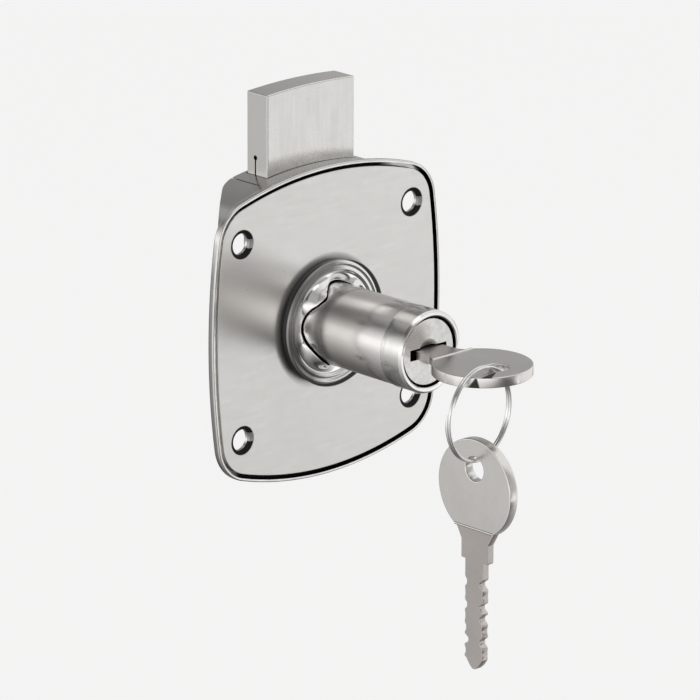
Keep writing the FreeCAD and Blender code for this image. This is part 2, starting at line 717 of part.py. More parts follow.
lobe_ring = overlap("lobe_ring", join("lobe_rods", *lobes), collar_inside)
collar_dished = cut("collar_dished", collar_solid,
                    taper("collar_dish", dish_radius + 0.35, dish_radius - sz.collar_dish_width,
                          bead_front - sz.collar_bead_radius, -sz.collar_dish_floor))
collar = cut("collar", join("collar_lobed", collar_dished, lobe_ring),
             rod("collar_bore_tool", body_radius + sz.sleeve_gap, -8, 1))

# Barrel: sleeve, front cap and the die-cast body inside them.
sleeve_end = bead_front - sz.collar_bead_radius - sz.collar_margin
barrel_sleeve = cut("barrel_sleeve", rod("sleeve_outer", sz.barrel_radius, cap_back, sleeve_end),
                    rod("sleeve_inner", body_radius + sz.sleeve_gap, cap_back - 1, 1))
cap_bore = sz.plug_head_radius + sz.plug_head_gap
cap_solid = join("cap_solid",
                 taper("cap_tip", cap_radius - sz.cap_front_bevel, cap_radius, tip, tip + sz.cap_front_bevel),
                 rod("cap_wall", cap_radius, tip + sz.cap_front_bevel, cap_back - sz.cap_back_bevel),
                 taper("cap_heel", cap_radius, cap_radius - sz.cap_back_bevel,
                       cap_back - sz.cap_back_bevel, cap_back))
cap_cuts = [rod("cap_bore_tool", cap_bore, tip - 1, cap_back),
            rod("cap_seat_tool", body_radius + sz.sleeve_gap, body_front - sz.sleeve_gap, cap_back + 1),
            taper("cap_mouth", cap_bore + 0.8, cap_bore, tip - 0.4, tip + 0.4)]
for i, place in enumerate((0.8, 1.3)):
    start = cap_back - place
    cap_cuts.append(cut("cap_line_%d" % i,
                        rod("cap_line_out_%d" % i, cap_radius + 1, start, start + sz.cap_groove_width),
                        rod("cap_line_in_%d" % i, cap_radius - sz.cap_groove_depth, start - 1, start + 1)))
front_cap = cut("front_cap", cap_solid, *cap_cuts)

bore_radius = sz.plug_radius + sz.bore_gap
body_solid = join("body_solid", rod("body_barrel", body_radius, body_front, plate_back),
                  rod("body_foot", sz.foot_radius, plate_back, foot_back))
body_cuts = [rod("body_bore", bore_radius, body_front - 1, foot_back + 1),
             rod("body_relief", relief_radius, first_wafer - sz.wafer_thickness / 2 - sz.groove_side_gap,
                 last_wafer + sz.wafer_thickness / 2 + sz.groove_side_gap)]
for i, (x, z) in enumerate(RIVETS):
    body_cuts.append(rod("body_rivet_hole_%d" % i, sz.rivet_radius, 0, foot_back + 1, x, z))
cylinder_body = cut("cylinder_body", body_solid, *body_cuts)

rivets = []
for i, (x, z) in enumerate(RIVETS):
    rivets.append(join("rivet_%d" % i, rod("rivet_shank_%d" % i, sz.rivet_radius, 0, foot_back, x, z),
                       rod("rivet_head_%d" % i, sz.rivet_head_radius, foot_back,
                           foot_back + sz.rivet_head_height, x, z)))
cylinder_rivets = group("cylinder_rivets", *rivets)

# Plug: head, shank, square tail, flat keyway across, tumbler slots,
# spring pockets, clip groove and the hole of the cam screw.
square = sz.cam_square_half
groove_radius = sz.plug_radius - sz.clip_groove_depth
plug_edge = 0.35
plug_solid = join("plug_solid",
                  taper("plug_head_edge", sz.plug_head_radius - plug_edge, sz.plug_head_radius,
                        plug_face, plug_face + plug_edge),
                  rod("plug_head", sz.plug_head_radius, plug_face + plug_edge, plug_head_back),
                  rod("plug_shank", sz.plug_radius, plug_head_back, clip_front),
                  rod("plug_groove", groove_radius, clip_front, clip_back),
                  rod("plug_collar", sz.plug_radius, clip_back, cam_front),
                  block("plug_square", -square, square, cam_front, cam_back, -square, square))
dish = doc.addObject("Part::Sphere", "plug_dish")
bind(dish, "Radius", sz.dish_radius)
settle(dish, 0, plug_face + sz.dish_depth - sz.dish_radius, 0)
half_blade = sz.blade_half_width + sz.keyway_gap
half_sheet = sz.blade_thickness / 2 + sz.keyway_gap
plug_cuts = [dish,
             block("keyway_mouth", -sz.mouth_half_width, sz.mouth_half_width, plug_face - 1,
                   plug_face + sz.mouth_depth, -sz.mouth_half_height, sz.mouth_half_height),
             block("keyway", -half_blade, half_blade, plug_face - 1, blade_tip + sz.keyway_end_gap,
                   -half_sheet, half_sheet),
             rod("cam_screw_hole", sz.cam_screw_radius, cam_back - sz.cam_screw_depth, cam_back + 1)]
slot_half = sz.wafer_thickness / 2 + sz.wafer_slot_gap
slot_top = sz.wafer_half_height + sz.wafer_slot_gap
pocket_top = sz.wafer_half_height + sz.wafer_lug_rise + sz.wafer_slot_gap
pocket_near = sz.wafer_lug_half + sz.wafer_travel + sz.wafer_slot_gap
pocket_far = sz.wafer_lug_half + sz.wafer_spring_length + sz.wafer_slot_gap
wafer_blanks = {1: [], -1: []}
wafer_lugs = {1: [], -1: []}
springs = []
for i in range(int(sz.wafer_count.value)):
    y = first_wafer + sz.wafer_pitch * i
    side = 1 if i % 2 == 0 else -1
    plug_cuts.append(block("wafer_slot_%d" % i, -sz.plug_radius - 1, sz.plug_radius + 1,
                           y - slot_half, y + slot_half, -slot_top, slot_top))
    near = pocket_near * side
    far = pocket_far * -side
    span = (far, near) if side > 0 else (near, far)
    plug_cuts.append(block("spring_pocket_%d" % i, span[0], span[1], y - slot_half, y + slot_half,
                           0, pocket_top))
    wafer_blanks[side].append(block("wafer_blank_%d" % i, -sz.plug_radius, sz.plug_radius,
                                    y - sz.wafer_thickness / 2, y + sz.wafer_thickness / 2,
                                    -sz.wafer_half_height, sz.wafer_half_height))
    wafer_lugs[side].append(block("wafer_lug_%d" % i, -sz.wafer_lug_half, sz.wafer_lug_half,
                                  y - sz.wafer_thickness / 2, y + sz.wafer_thickness / 2,
                                  sz.wafer_half_height - 0.4, sz.wafer_half_height + sz.wafer_lug_rise))
    spring_start = sz.wafer_lug_half + sz.wafer_slot_gap / 2
    spring_x = -spring_start - sz.wafer_spring_length if side > 0 else spring_start
    springs.append(across("wafer_spring_%d" % i, sz.wafer_spring_radius, spring_x,
                          spring_x + sz.wafer_spring_length, y,
                          sz.wafer_half_height + sz.wafer_lug_rise / 2 + 0.05))
plug = cut("plug", plug_solid, *plug_cuts)
wafer_springs = group("wafer_springs", *springs)


def wafer_set(name, side):
    """Tumblers of one side with their round ends, windows and lugs."""
    rounded = overlap(name + "_rounded", group(name + "_blanks", *wafer_blanks[side]),
                      rod(name + "_round", sz.plug_radius - sz.wafer_edge_gap,
                          first_wafer - 2, last_wafer + 2))
    near = sz.blade_half_width + sz.keyway_gap
    far = near + sz.wafer_travel
    span = (-far, near) if side > 0 else (-near, far)
    half = sz.blade_thickness / 2 + sz.wafer_window_gap
    framed = cut(name + "_framed", rounded,
                 block(name + "_window", span[0], span[1], first_wafer - 2, last_wafer + 2, -half, half))
    return join(name, framed, *wafer_lugs[side])


wafers_right = wafer_set("wafers_right", 1)
wafers_left = wafer_set("wafers_left", -1)

plug_clip = cut("plug_clip", rod("clip_outer", sz.clip_radius, clip_front, clip_back),
                rod("clip_inner", groove_radius + 0.05, clip_front - 1, clip_back + 1),
                block("clip_mouth_tool", -sz.clip_mouth, sz.clip_mouth, clip_front - 1, clip_back + 1,
                      -sz.clip_radius - 1, 0 - groove_radius * 0.4))

# Crank on the square tail, its drive pin, washer and screw.
arm_radius = sz.pin_radius + sz.cam_arm_wall
hole_half = square + sz.square_gap
cam_solid = join("cam_solid", rod("cam_hub", sz.cam_hub_radius, cam_front, cam_back),
                 rod("cam_eye", arm_radius, cam_front, cam_back, 0, crank),
                 block("cam_arm", -arm_radius, arm_radius, cam_front, cam_back, 0, crank))
cam = cut("cam", cam_solid,
          block("cam_square", -hole_half, hole_half, cam_front - 1, cam_back + 1, -hole_half, hole_half),
          rod("cam_pin_hole", sz.pin_radius, cam_front - 1, cam_back + 1, 0, crank))
drive_pin = join("drive_pin",
                 rod("pin_shank", sz.pin_radius, cam_front - sz.pin_head_height,
                     case_inside - sz.pin_end_gap, 0, crank),
                 rod("pin_head", sz.pin_head_radius, cam_front - sz.pin_head_height, cam_front, 0, crank))
cam_washer = cut("cam_washer", rod("washer_disc", sz.washer_radius, cam_back, washer_back),
                 rod("washer_hole", sz.cam_screw_radius + 0.1, cam_back - 1, washer_back + 1))
cam_screw = cut("cam_screw",
                join("cam_screw_solid",
                     rod("cam_screw_shank", sz.cam_screw_radius, cam_back - sz.cam_screw_depth, washer_back),
                     rod("cam_screw_top", sz.cam_screw_head_radius, washer_back, cam_screw_back)),
                block("cam_screw_slot", -sz.cam_screw_head_radius - 1, sz.cam_screw_head_radius + 1,
                      cam_screw_back - sz.cam_screw_head * 0.5, cam_screw_back + 1,
                      -sz.screw_slot_width / 2, sz.screw_slot_width / 2))

# Bolt: thick head with an arched end, thinner tail behind the cam.
bolt_blank = new_body("bolt_blank")
head_sketch = new_sketch(bolt_blank, "bolt_head_outline", "XZ_Plane", -bolt_front)
half = sz.bolt_half_width
corners = [(-half, bolt_corner), (-half, tail_top), (half, tail_top), (half, bolt_corner)]
for i in range(3):
    a, b = corners[i], corners[i + 1]
    head_sketch.addGeometry(Part.LineSegment(V(a[0].value, a[1].value, 0), V(b[0].value, b[1].value, 0)), False)
reach = math.sqrt(sz.bolt_arch_radius.value ** 2 - half.value ** 2)
arch = Part.Circle(V(0, bolt_corner.value - reach, 0), V(0, 0, 1), sz.bolt_arch_radius.value)
tilt = math.atan2(reach, half.value)
head_sketch.addGeometry(Part.ArcOfCircle(arch, tilt, math.pi - tilt), False)
hold(head_sketch, "Coincident", 0, 2, 1, 1)
hold(head_sketch, "Coincident", 1, 2, 2, 1)
hold(head_sketch, "Coincident", 2, 2, 3, 1)
hold(head_sketch, "Coincident", 3, 2, 0, 1)
pin_point(head_sketch, 0, 1, corners[0][0], corners[0][1])
pin_point(head_sketch, 1, 1, corners[1][0], corners[1][1])
pin_point(head_sketch, 2, 1, corners[2][0], corners[2][1])
pin_point(head_sketch, 2, 2, corners[3][0], corners[3][1])
hold(head_sketch, "Radius", 3, sz.bolt_arch_radius)
head_pad = pad(bolt_blank, head_sketch, "bolt_head_pad", sz.bolt_thickness)


def on_bolt_end(edge):
    """Edges of the head above its foot."""
    return edge.BoundBox.ZMax > tail_top.value + 1


head_soft = soften(bolt_blank, head_pad, "bolt_head_soft", sz.bolt_round, on_bolt_end)
tail_sketch = new_sketch(bolt_blank, "bolt_tail_outline", "XZ_Plane", -tail_front)
polygon(tail_sketch, [(-half, tail_bottom + 1), (1 - half, tail_bottom), (half - 1, tail_bottom),
                      (half, tail_bottom + 1), (half, tail_top + 0.5), (-half, tail_top + 0.5)])
tail_pad = pad(bolt_blank, tail_sketch, "bolt_tail_pad", sz.tail_thickness)
slit_y = bolt_front + sz.slit_back
slit_top = case_top + sz.slit_rise
bolt = cut("bolt", bolt_blank,
           block("cross_slot", -slot_half_length, slot_half_length, tail_front - 1, bolt_back + 1,
                 crank - slot_half_height, crank + slot_half_height),
           join("stump_slot",
                block("stump_slot_legs", -sz.stump_radius - sz.stump_gap, sz.stump_radius + sz.stump_gap,
                      tail_front - 1, bolt_back + 1, tail_bottom - 1,
                      stump_slot_top - sz.stump_radius - sz.stump_gap),
                rod("stump_slot_end", sz.stump_radius + sz.stump_gap, tail_front - 1, bolt_back + 1, 0,
                    stump_slot_top - sz.stump_radius - sz.stump_gap)),
           join("side_slit",
                block("slit_line", -half - 1, sz.slit_depth - half, slit_y - sz.slit_width / 2,
                      slit_y + sz.slit_width / 2, tail_top - 6, slit_top),
                across("slit_eye", sz.slit_eye_radius, -half - 1, sz.slit_depth - half, slit_y, slit_top)))

# Keys: u runs from the bow to the tip of the blade, v across the blade.
LEFT_CUTS = [getattr(sz, "left_cut_%d" % (i + 1)) for i in range(7)]
RIGHT_CUTS = [getattr(sz, "right_cut_%d" % (i + 1)) for i in range(7)]


def make_key(name):
    """Key lying flat with its bow on the origin and its blade along Y."""
    body = new_body(name)
    bow = new_sketch(body, name + "_bow_outline", "XY_Plane")
    rim = sz.bow_radius
    drop = math.sqrt(rim.value ** 2 - sz.bow_chord.value ** 2)
    lean = math.atan2(sz.bow_chord.value, drop)
    whole = Part.Circle(V(0, 0, 0), V(0, 0, 1), rim.value)
    bow.addGeometry(Part.ArcOfCircle(whole, math.pi - lean, 2 * math.pi + lean), False)
    bow.addGeometry(Part.LineSegment(V(drop, sz.bow_chord.value, 0), V(-drop, sz.bow_chord.value, 0)), False)
    hold(bow, "Coincident", 0, 2, 1, 1)
    hold(bow, "Coincident", 1, 2, 0, 1)
    hold(bow, "Coincident", 0, 3, -1, 1)
    hold(bow, "Radius", 0, rim)
    hold(bow, "Horizontal", 1)
    hold(bow, "DistanceY", -1, 1, 1, 1, sz.bow_chord)
    circle(bow, 0, -sz.bow_hole_offset, sz.bow_hole_radius)
    last = pad(body, bow, name + "_bow", sz.bow_thickness, back=False, middle=True)

    def on_rim(edge):
        box = edge.BoundBox
        return box.ZLength < 1e-6 and abs(box.XLength - 2 * rim.value) < 1e-3

    last = soften(body, last, name + "_bow_edge", sz.bow_edge_round, on_rim)
    stem = new_sketch(body, name + "_stem_outline", "XY_Plane")
    stop = sz.shoulder_distance
    blade = sz.blade_half_width
    points = [(-sz.shoulder_half_width, sz.neck_end), (0 - drop * 0.99, sz.bow_chord - 0.3),
              (size(drop * 0.99), sz.bow_chord - 0.3), (sz.shoulder_half_width, sz.neck_end),
              (sz.shoulder_half_width, stop - 0.25), (sz.shoulder_half_width - 0.25, stop), (blade, stop)]
    for i, depth in enumerate(RIGHT_CUTS):
        place = stop + sz.cut_first + sz.wafer_pitch * i
        points.append((blade - depth, place - sz.cut_half_width))
        points.append((blade - depth, place + sz.cut_half_width))
    end = stop + sz.blade_length
    points.append((blade, end - sz.tip_length))
    points.append((sz.tip_half_width, end))
    points.append((-sz.tip_half_width, end))
    points.append((0.35 - blade, end - sz.tip_length * 0.6))
    for i in reversed(range(7)):
        place = stop + sz.cut_first + sz.wafer_pitch * i
        points.append((LEFT_CUTS[i] - blade, place + sz.cut_half_width))
        points.append((LEFT_CUTS[i] - blade, place - sz.cut_half_width))
    points.append((-blade, stop))
    points.append((0.25 - sz.shoulder_half_width, stop))
    points.append((-sz.shoulder_half_width, stop - 0.25))
    polygon(stem, points)
    pad(body, stem, name + "_stem", sz.blade_thickness, back=False, middle=True)
    return body


key = make_key("key")
settle(key, 0, bow_middle, 0)

# Split ring: one wire wound in two turns, leaning on the bow and through its hole.
ring_x = -sz.ring_shift_x
ring_y = key_hole_y - sz.ring_shift_y
ring_z = -sz.ring_drop
split_ring = new_body("split_ring")
wire = new_sketch(split_ring, "ring_wire_outline", "XZ_Plane")
circle(wire, sz.ring_radius, -sz.ring_pitch * sz.ring_turns / 2, sz.ring_wire_radius)
coil = split_ring.newObject("PartDesign::AdditiveHelix", "ring_coil")
coil.Profile = wire
coil.ReferenceAxis = (wire, ["V_Axis"])
coil.Mode = 1
bind(coil, "Pitch", sz.ring_pitch)
bind(coil, "Turns", sz.ring_turns)
upright = FreeCAD.Rotation(V(1, 0, 0), -90)
start = FreeCAD.Rotation(V(0, 0, 1), -sz.ring_start_angle.value)
yaw = FreeCAD.Rotation(V(0, 0, 1), sz.ring_yaw.value)
split_ring.Placement = FreeCAD.Placement(V(0, 0, 0), yaw.multiply(upright).multiply(start))
settle(split_ring, ring_x, ring_y, ring_z)

# Spare key: hangs edge on from the bottom of the ring, blade down.
spare_key = make_key("spare_key")
blade_down = FreeCAD.Rotation(V(1, 0, 0), -90)
edge_on = FreeCAD.Rotation(V(0, 0, 1), 90)
spare_key.Placement = FreeCAD.Placement(V(0, 0, 0), edge_on.multiply(blade_down))
hang_z = ring_z - sz.ring_radius - sz.spare_hang
settle(spare_key, ring_x, ring_y + sz.spare_shift_y, hang_z - sz.bow_hole_offset)

NODES = ["front_plate", "back_cover", "collar", "barrel_sleeve", "front_cap", "cylinder_body",
         "cylinder_rivets", "plug", "plug_clip", "wafers_right", "wafers_left", "wafer_springs",
         "cam", "cam_washer", "cam_screw", "drive_pin", "bolt", "bolt_case", "case_rivets",
         "bolt_guides", "guide_stump", "key", "split_ring", "spare_key"]

doc.recompute()
problems = []
for item in doc.Objects:
    for state in item.State:
        if state in ("Invalid", "Error"):
            problems.append("%s is %s" % (item.Name, state))
for name in NODES:
    shape = doc.getObject(name).Shape
    if shape.isNull():
        problems.append(name + " is empty")
    elif not shape.isValid():
        problems.append(name + " is not valid")
    elif not shape.Solids:
        problems.append(name + " has no solid")
if problems:
    raise RuntimeError("; ".join(problems))

os.makedirs("parts", exist_ok=True)
for name in NODES:
    item = doc.getObject(name)
    item.Label = name
    item.Shape.exportStep("parts/%s.step" % name)
    box = item.Shape.BoundBox
    print("%-16s solids %2d volume %9.1f  x %.1f %.1f  y %.1f %.1f  z %.1f %.1f"
          % (name, len(item.Shape.Solids), item.Shape.Volume, box.XMin, box.XMax,
             box.YMin, box.YMax, box.ZMin, box.ZMax))
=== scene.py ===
# %% [markdown]
# # Cabinet lock with its key, a wire ring and a spare key
# The lock is sheet steel and turned metal, all of it with a satin or
# polished nickel finish. The packed model gives every piece its place and
# size; this script dresses it. Everything is in metres, in the frame of the
# model: X to the right seen from the front, the barrel along -Y, Z up.

# %% Load the frame
import math

import bmesh
import bpy
from mathutils import Matrix, Vector


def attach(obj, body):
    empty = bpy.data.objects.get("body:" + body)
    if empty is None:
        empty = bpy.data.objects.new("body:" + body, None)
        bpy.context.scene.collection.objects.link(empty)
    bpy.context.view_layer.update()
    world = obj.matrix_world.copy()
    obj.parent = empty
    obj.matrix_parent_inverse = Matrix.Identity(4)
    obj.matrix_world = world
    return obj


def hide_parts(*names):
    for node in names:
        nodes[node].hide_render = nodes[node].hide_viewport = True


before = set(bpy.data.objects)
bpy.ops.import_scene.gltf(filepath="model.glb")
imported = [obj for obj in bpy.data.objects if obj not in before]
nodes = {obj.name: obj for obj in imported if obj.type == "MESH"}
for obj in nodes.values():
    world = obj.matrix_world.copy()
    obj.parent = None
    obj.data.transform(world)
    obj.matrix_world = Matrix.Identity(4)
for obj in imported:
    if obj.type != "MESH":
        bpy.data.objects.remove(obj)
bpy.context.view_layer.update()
scene = bpy.context.scene
MM = 0.001

# %% [markdown]
# ## The camera
# The photograph was taken with a long lens from the left and a little above.
# Its place was worked out from the screw holes, the barrel and the bolt. A
# camera can be aimed in several ways, such as a tracking constraint; here
# its axes are written down directly, because the view also has a tiny roll.

# %% Camera
AZIMUTH = math.radians(-43.435)
ELEVATION = math.radians(16.998)
ROLL = math.radians(0.203)
TARGET = Vector((7.479, 0.0, -9.050)) * MM
DISTANCE = 1.5
LENS, SENSOR = 316.7, 36
towards = Vector((math.sin(AZIMUTH) * math.cos(ELEVATION),
                  -math.cos(AZIMUTH) * math.cos(ELEVATION),
                  math.sin(ELEVATION)))
right = Vector((math.cos(AZIMUTH), math.sin(AZIMUTH), 0))
up = towards.cross(right)
camera_data = bpy.data.cameras.new("camera")
camera_data.lens = LENS
camera_data.sensor_width = SENSOR
camera_data.clip_start = 0.01
camera_data.clip_end = 50
camera = bpy.data.objects.new("camera", camera_data)
scene.collection.objects.link(camera)
turn = Matrix((right, up, towards)).transposed().to_4x4()
camera.matrix_world = (Matrix.Translation(TARGET + towards * DISTANCE) @ turn
                       @ Matrix.Rotation(ROLL, 4, "Z"))
scene.camera = camera
print("camera at", tuple(round(v, 4) for v in camera.matrix_world.translation))

# %% [markdown]
# ## Shader maths in plain Python
# A shader is a graph of nodes. Writing it as sums and products keeps it
# readable, so one small class wraps a socket, and each operator on it adds
# the Math node it stands for.

# %% A socket with arithmetic


class Wire:
    """A node socket that can be used in sums."""

    def __init__(self, tree, socket):
        self.tree = tree
        self.socket = socket

    def node(self, kind, values=(), out=0, **settings):
        """Add a node: its settings first, then values or links for its inputs."""
        made = self.tree.nodes.new(kind)
        stops = settings.pop("stops", None)
        for key, value in settings.items():
            setattr(made, key, value)
        if stops:
            ramp = made.color_ramp
            while len(ramp.elements) < len(stops):
                ramp.elements.new(1)
            for element, (place, colour) in zip(ramp.elements, stops):
                element.position = place
                element.color = colour
        for key, value in dict(values).items():
            if isinstance(value, Wire):
                self.tree.links.new(value.socket, made.inputs[key])
            else:
                made.inputs[key].default_value = value
        return Wire(self.tree, made.outputs[out])

    def sum(self, operation, one, two):
        """Math node of two values."""
        return self.node("ShaderNodeMath", {0: one, 1: two}, operation=operation)

    def __add__(self, other):
        return self.sum("ADD", self, other)

    def __radd__(self, other):
        return self.sum("ADD", other, self)

    def __sub__(self, other):
        return self.sum("SUBTRACT", self, other)

    def __rsub__(self, other):
        return self.sum("SUBTRACT", other, self)

    def __mul__(self, other):
        return self.sum("MULTIPLY", self, other)

    def __rmul__(self, other):
        return self.sum("MULTIPLY", other, self)

    def __truediv__(self, other):
        return self.sum("DIVIDE", self, other)

    def __pow__(self, power):
        return self.sum("POWER", self, power)

    def __abs__(self):
        return self.node("ShaderNodeMath", {0: self}, operation="ABSOLUTE")

    def sign(self):
        """One, or minus one where the value is negative."""
        return self.node("ShaderNodeMath", {0: self}, operation="SIGN")

    def under(self, limit):
        """One where the value is below a limit."""
        return self.sum("LESS_THAN", self, limit)

    def over(self, limit):
        """One where the value is above a limit."""
        return self.sum("GREATER_THAN", self, limit)

    def most(self, other):
        """The larger of two values."""
        return self.sum("MAXIMUM", self, other)


def span(value, low, high, to_low=0.0, to_high=1.0):
    """Value moved from one range to another and held inside it."""
    return value.node("ShaderNodeMapRange",
                      {0: value, 1: low, 2: high, 3: to_low, 4: to_high})


def blend_colour(mask, one, two):
    """Colour one where the mask is 0, colour two where it is 1."""
    return mask.node("ShaderNodeMix", {0: mask, 6: one, 7: two}, out=2, data_type="RGBA")


print("a socket knows", len([name for name in vars(Wire) if name != "__init__"]), "operations")

# %% [markdown]
# ## The outline of the plate in numbers
# The plate is pressed with four bowed sides that meet in small round
# corners. Several finishes and the plate itself need to know how far a point
# is from that outline. A traced curve could say it, but four large arcs and
# one corner arc say it exactly, and by symmetry one corner is enough.

# %% Arcs of the plate
SCREW_X, SCREW_Z, SCREW_RADIUS = 28.0, 24.5, 2.7
HALF_WIDTH, HALF_HEIGHT = 36.0, 37.2
SIDE_BOW, END_BOW, CORNER = 180.0, 95.0, 9.0
SIDE_MIDDLE, END_MIDDLE = SIDE_BOW - HALF_WIDTH, END_BOW - HALF_HEIGHT
apart = math.hypot(SIDE_MIDDLE, END_MIDDLE)
along = (apart ** 2 + (SIDE_BOW - CORNER) ** 2 - (END_BOW - CORNER) ** 2) / (2 * apart)
aside = math.sqrt((SIDE_BOW - CORNER) ** 2 - along ** 2)
CORNER_X = -SIDE_MIDDLE + (along * SIDE_MIDDLE + aside * END_MIDDLE) / apart
CORNER_Z = (aside * SIDE_MIDDLE - along * END_MIDDLE) / apart
SIDE_LEAN = ((CORNER_X + SIDE_MIDDLE) / (SIDE_BOW - CORNER), CORNER_Z / (SIDE_BOW - CORNER))
END_LEAN = (CORNER_X / (END_BOW - CORNER), (CORNER_Z + END_MIDDLE) / (END_BOW - CORNER))
print("corner arcs of the plate are centred", round(CORNER_X, 3), round(CORNER_Z, 3))

# %% [markdown]
# ## Where a point is on the lock
# The narrow gaps and bores of a lock are dark, because hardly any light
# comes back out of them. A painted texture could hold that shade, but it
# needs unwrapping and goes soft close up. Here every finish reads the place
# of the point that is being shaded, in millimetres of the lock, so a crevice
# is darkened by its own measures.

# %% Coordinates for the finishes


class Place:
    """Coordinates in millimetres of the point that is being shaded."""

    def __init__(self, tree):
        # A wire without a socket can still add nodes.
        start = Wire(tree, None)
        self.vector = start.node("ShaderNodeTexCoord", out=3)
        self.x, self.y, self.z = [
            start.node("ShaderNodeSeparateXYZ", {0: self.vector}, out=i) * 1000
            for i in range(3)]
        self.radius = (self.x * self.x + self.z * self.z) ** 0.5

    def edge(self):
        """Distance outward from the bowed outline of the plate."""
        side = ((abs(self.x) + SIDE_MIDDLE) ** 2 + self.z * self.z) ** 0.5 - SIDE_BOW
        end = (self.x * self.x + (abs(self.z) + END_MIDDLE) ** 2) ** 0.5 - END_BOW
        across = abs(self.x) - CORNER_X
        upward = abs(self.z) - CORNER_Z
        past_side = (upward * SIDE_LEAN[0] - across * SIDE_LEAN[1]).over(0)
        past_end = (across * END_LEAN[1] - upward * END_LEAN[0]).over(0)
        corner = (across * across + upward * upward) ** 0.5 - CORNER
        at_corner = past_side * past_end
        return at_corner * corner + (1 - at_corner) * side.most(end)

    def screw(self):
        """Distance from the axis of the nearest screw hole."""
        across = abs(self.x) - SCREW_X
        upward = abs(self.z) - SCREW_Z
        return (across * across + upward * upward) ** 0.5


print("screw holes are found at", SCREW_X, "and", SCREW_Z, "mm from the middle")

# %% [markdown]
# ## One recipe for all the metals
# Plated metal is one colour all over, and what the eye reads as its finish
# is how the reflection breaks up: fine scratches in one direction where it
# was brushed, rings where it was turned, a faint grain where it was blasted.
# A picture texture could show that, but noise stretched along one axis
# does it at any size and needs no unwrapping. The same recipe then makes
# every finish from a few numbers.

# %% Metal
# Colour of painted shade, which the masks give to crevices, gaps and shaded sides.
PAINTED_SHADE = (0.012, 0.011, 0.011, 1)
TONE_DROP = 0.86
CLOUD_SCALE, SPECK_SCALE = 55.0, 420.0
SHADE_DULLING = 0.4


def metal(name, colour, rough, stretch=(1, 1, 1), grain=0.00002, grain_scale=900,
          patch=0.04, tint=None, dark=None):
    """Plated metal with drawn grain, soft patches and slightly uneven gloss.

    The colour drifts towards the tint. Stretch draws the grain out along an axis, grain
    is its depth in metres, and patch is how much the gloss varies. Dark is a function
    that gives the mask of painted shade for a Place: crevices, gaps and shaded sides.
    """
    made = bpy.data.materials.new(name)
    made.use_nodes = True
    tree = made.node_tree
    shader = tree.nodes["Principled BSDF"]
    shader.inputs["Metallic"].default_value = 1.0
    place = Place(tree)
    drawn = place.vector.node("ShaderNodeMapping", {0: place.vector, 3: stretch})
    lines = drawn.node("ShaderNodeTexNoise", {"Vector": drawn, "Scale": grain_scale,
                                              "Detail": 6.0, "Roughness": 0.6})
    cloud = drawn.node("ShaderNodeTexNoise", {"Vector": place.vector, "Scale": CLOUD_SCALE,
                                              "Detail": 3.0})
    speck = drawn.node("ShaderNodeTexNoise", {"Vector": place.vector, "Scale": SPECK_SCALE,
                                              "Detail": 4.0})
    tone = tint or tuple(v * TONE_DROP for v in colour)
    mix = span(cloud, 0.3, 0.7, 0.0, 0.75) + span(lines, 0.35, 0.65, -0.12, 0.12)
    shade = blend_colour(span(mix, 0.0, 1.0), (*colour, 1), (*tone, 1))
    gloss = rough + span(lines, 0.3, 0.7, -patch, patch) + span(speck, 0.4, 0.8, 0.0, patch)
    # Painted shade: where the mask is set, the colour darkens and the gloss grows rougher.
    if dark:
        mask = dark(place)
        shade = blend_colour(mask, shade, PAINTED_SHADE)
        gloss = gloss + mask * SHADE_DULLING
    tree.links.new(shade.socket, shader.inputs["Base Color"])
    tree.links.new(gloss.socket, shader.inputs["Roughness"])
    bump = lines.node("ShaderNodeBump", {"Height": lines, "Strength": 1.0, "Distance": grain})
    tree.links.new(bump.socket, shader.inputs["Normal"])
    return made


print("crevices darken to", PAINTED_SHADE[:3])

# %% [markdown]
# ## Finish of the plate and its cover
# The plate is brushed from side to side. The pressed cover behind it is
# rolled forward round its edge, and between rim and plate runs a gap less
# than a millimetre wide. Real shadow would darken that gap only with many
# samples of light, so painted shade darkens the finish of the cover inside
# it, and on the outside of the rim at the left and right. On the left the
# rim closes up against the plate, and there the gap fades out. The plate
# carries painted shade in its screw holes and on its own side, and a soft
# ring of painted shadow that the collar casts on it.

# %% Satin cover
GAP_FROM, GAP_TO = 0.02, 1.04
GAP_FRONT, GAP_BACK = 0.4, 1.6
RIM_OUTSIDE = 1.45


def trough(place):
    """Painted shade inside the gap between plate and rim, and on the outside of the rim at left
    and right.
    """
    out = place.edge()
    gap = (out.over(GAP_FROM) * out.under(GAP_TO)
           * place.y.over(GAP_FRONT) * place.y.under(GAP_BACK))
    # It fades out on the left, a little sooner towards the top.
    gap = gap * span(place.x - place.z.most(0.0) * 0.15, -34, -28)
    # Towards the upper right the painted shade of the gap is lifted.
    bright_end = (span(place.x, 18, 23) * span(place.x, 29.5, 32, 1.0, 0.0)
                  * place.z.over(20) * 0.8)
    # Painted shade on the outer wall of the rim at the upper left.
    left_wall = (out.over(RIM_OUTSIDE) * span(place.x, -28, -33) * span(place.y, 0.2, 0.3)
                 * span(place.z, 28, 18))
    left_wall = left_wall * (0.52 + span(place.y, 1.0, 2.2, 0.0, 0.25))
    # Painted shade on the rim at the right.
    right_rim = span(place.x, 31, 35) * span(out, 1.1, 1.3) * 0.3
    return (gap * (1 - bright_end)).most(left_wall).most(right_rim)


satin_cover = metal("satin_cover", (0.76, 0.75, 0.73), 0.19, stretch=(0.2, 1, 1),
                    grain=0.000003, dark=trough)
print("made", satin_cover.name)

# %% Satin plate
NICKEL = (0.80, 0.79, 0.77)
SINK_RADIUS = 3.68
PATCH_FROM, PATCH_Z, PATCH_HALF = 1.2, 24.2, 1.1


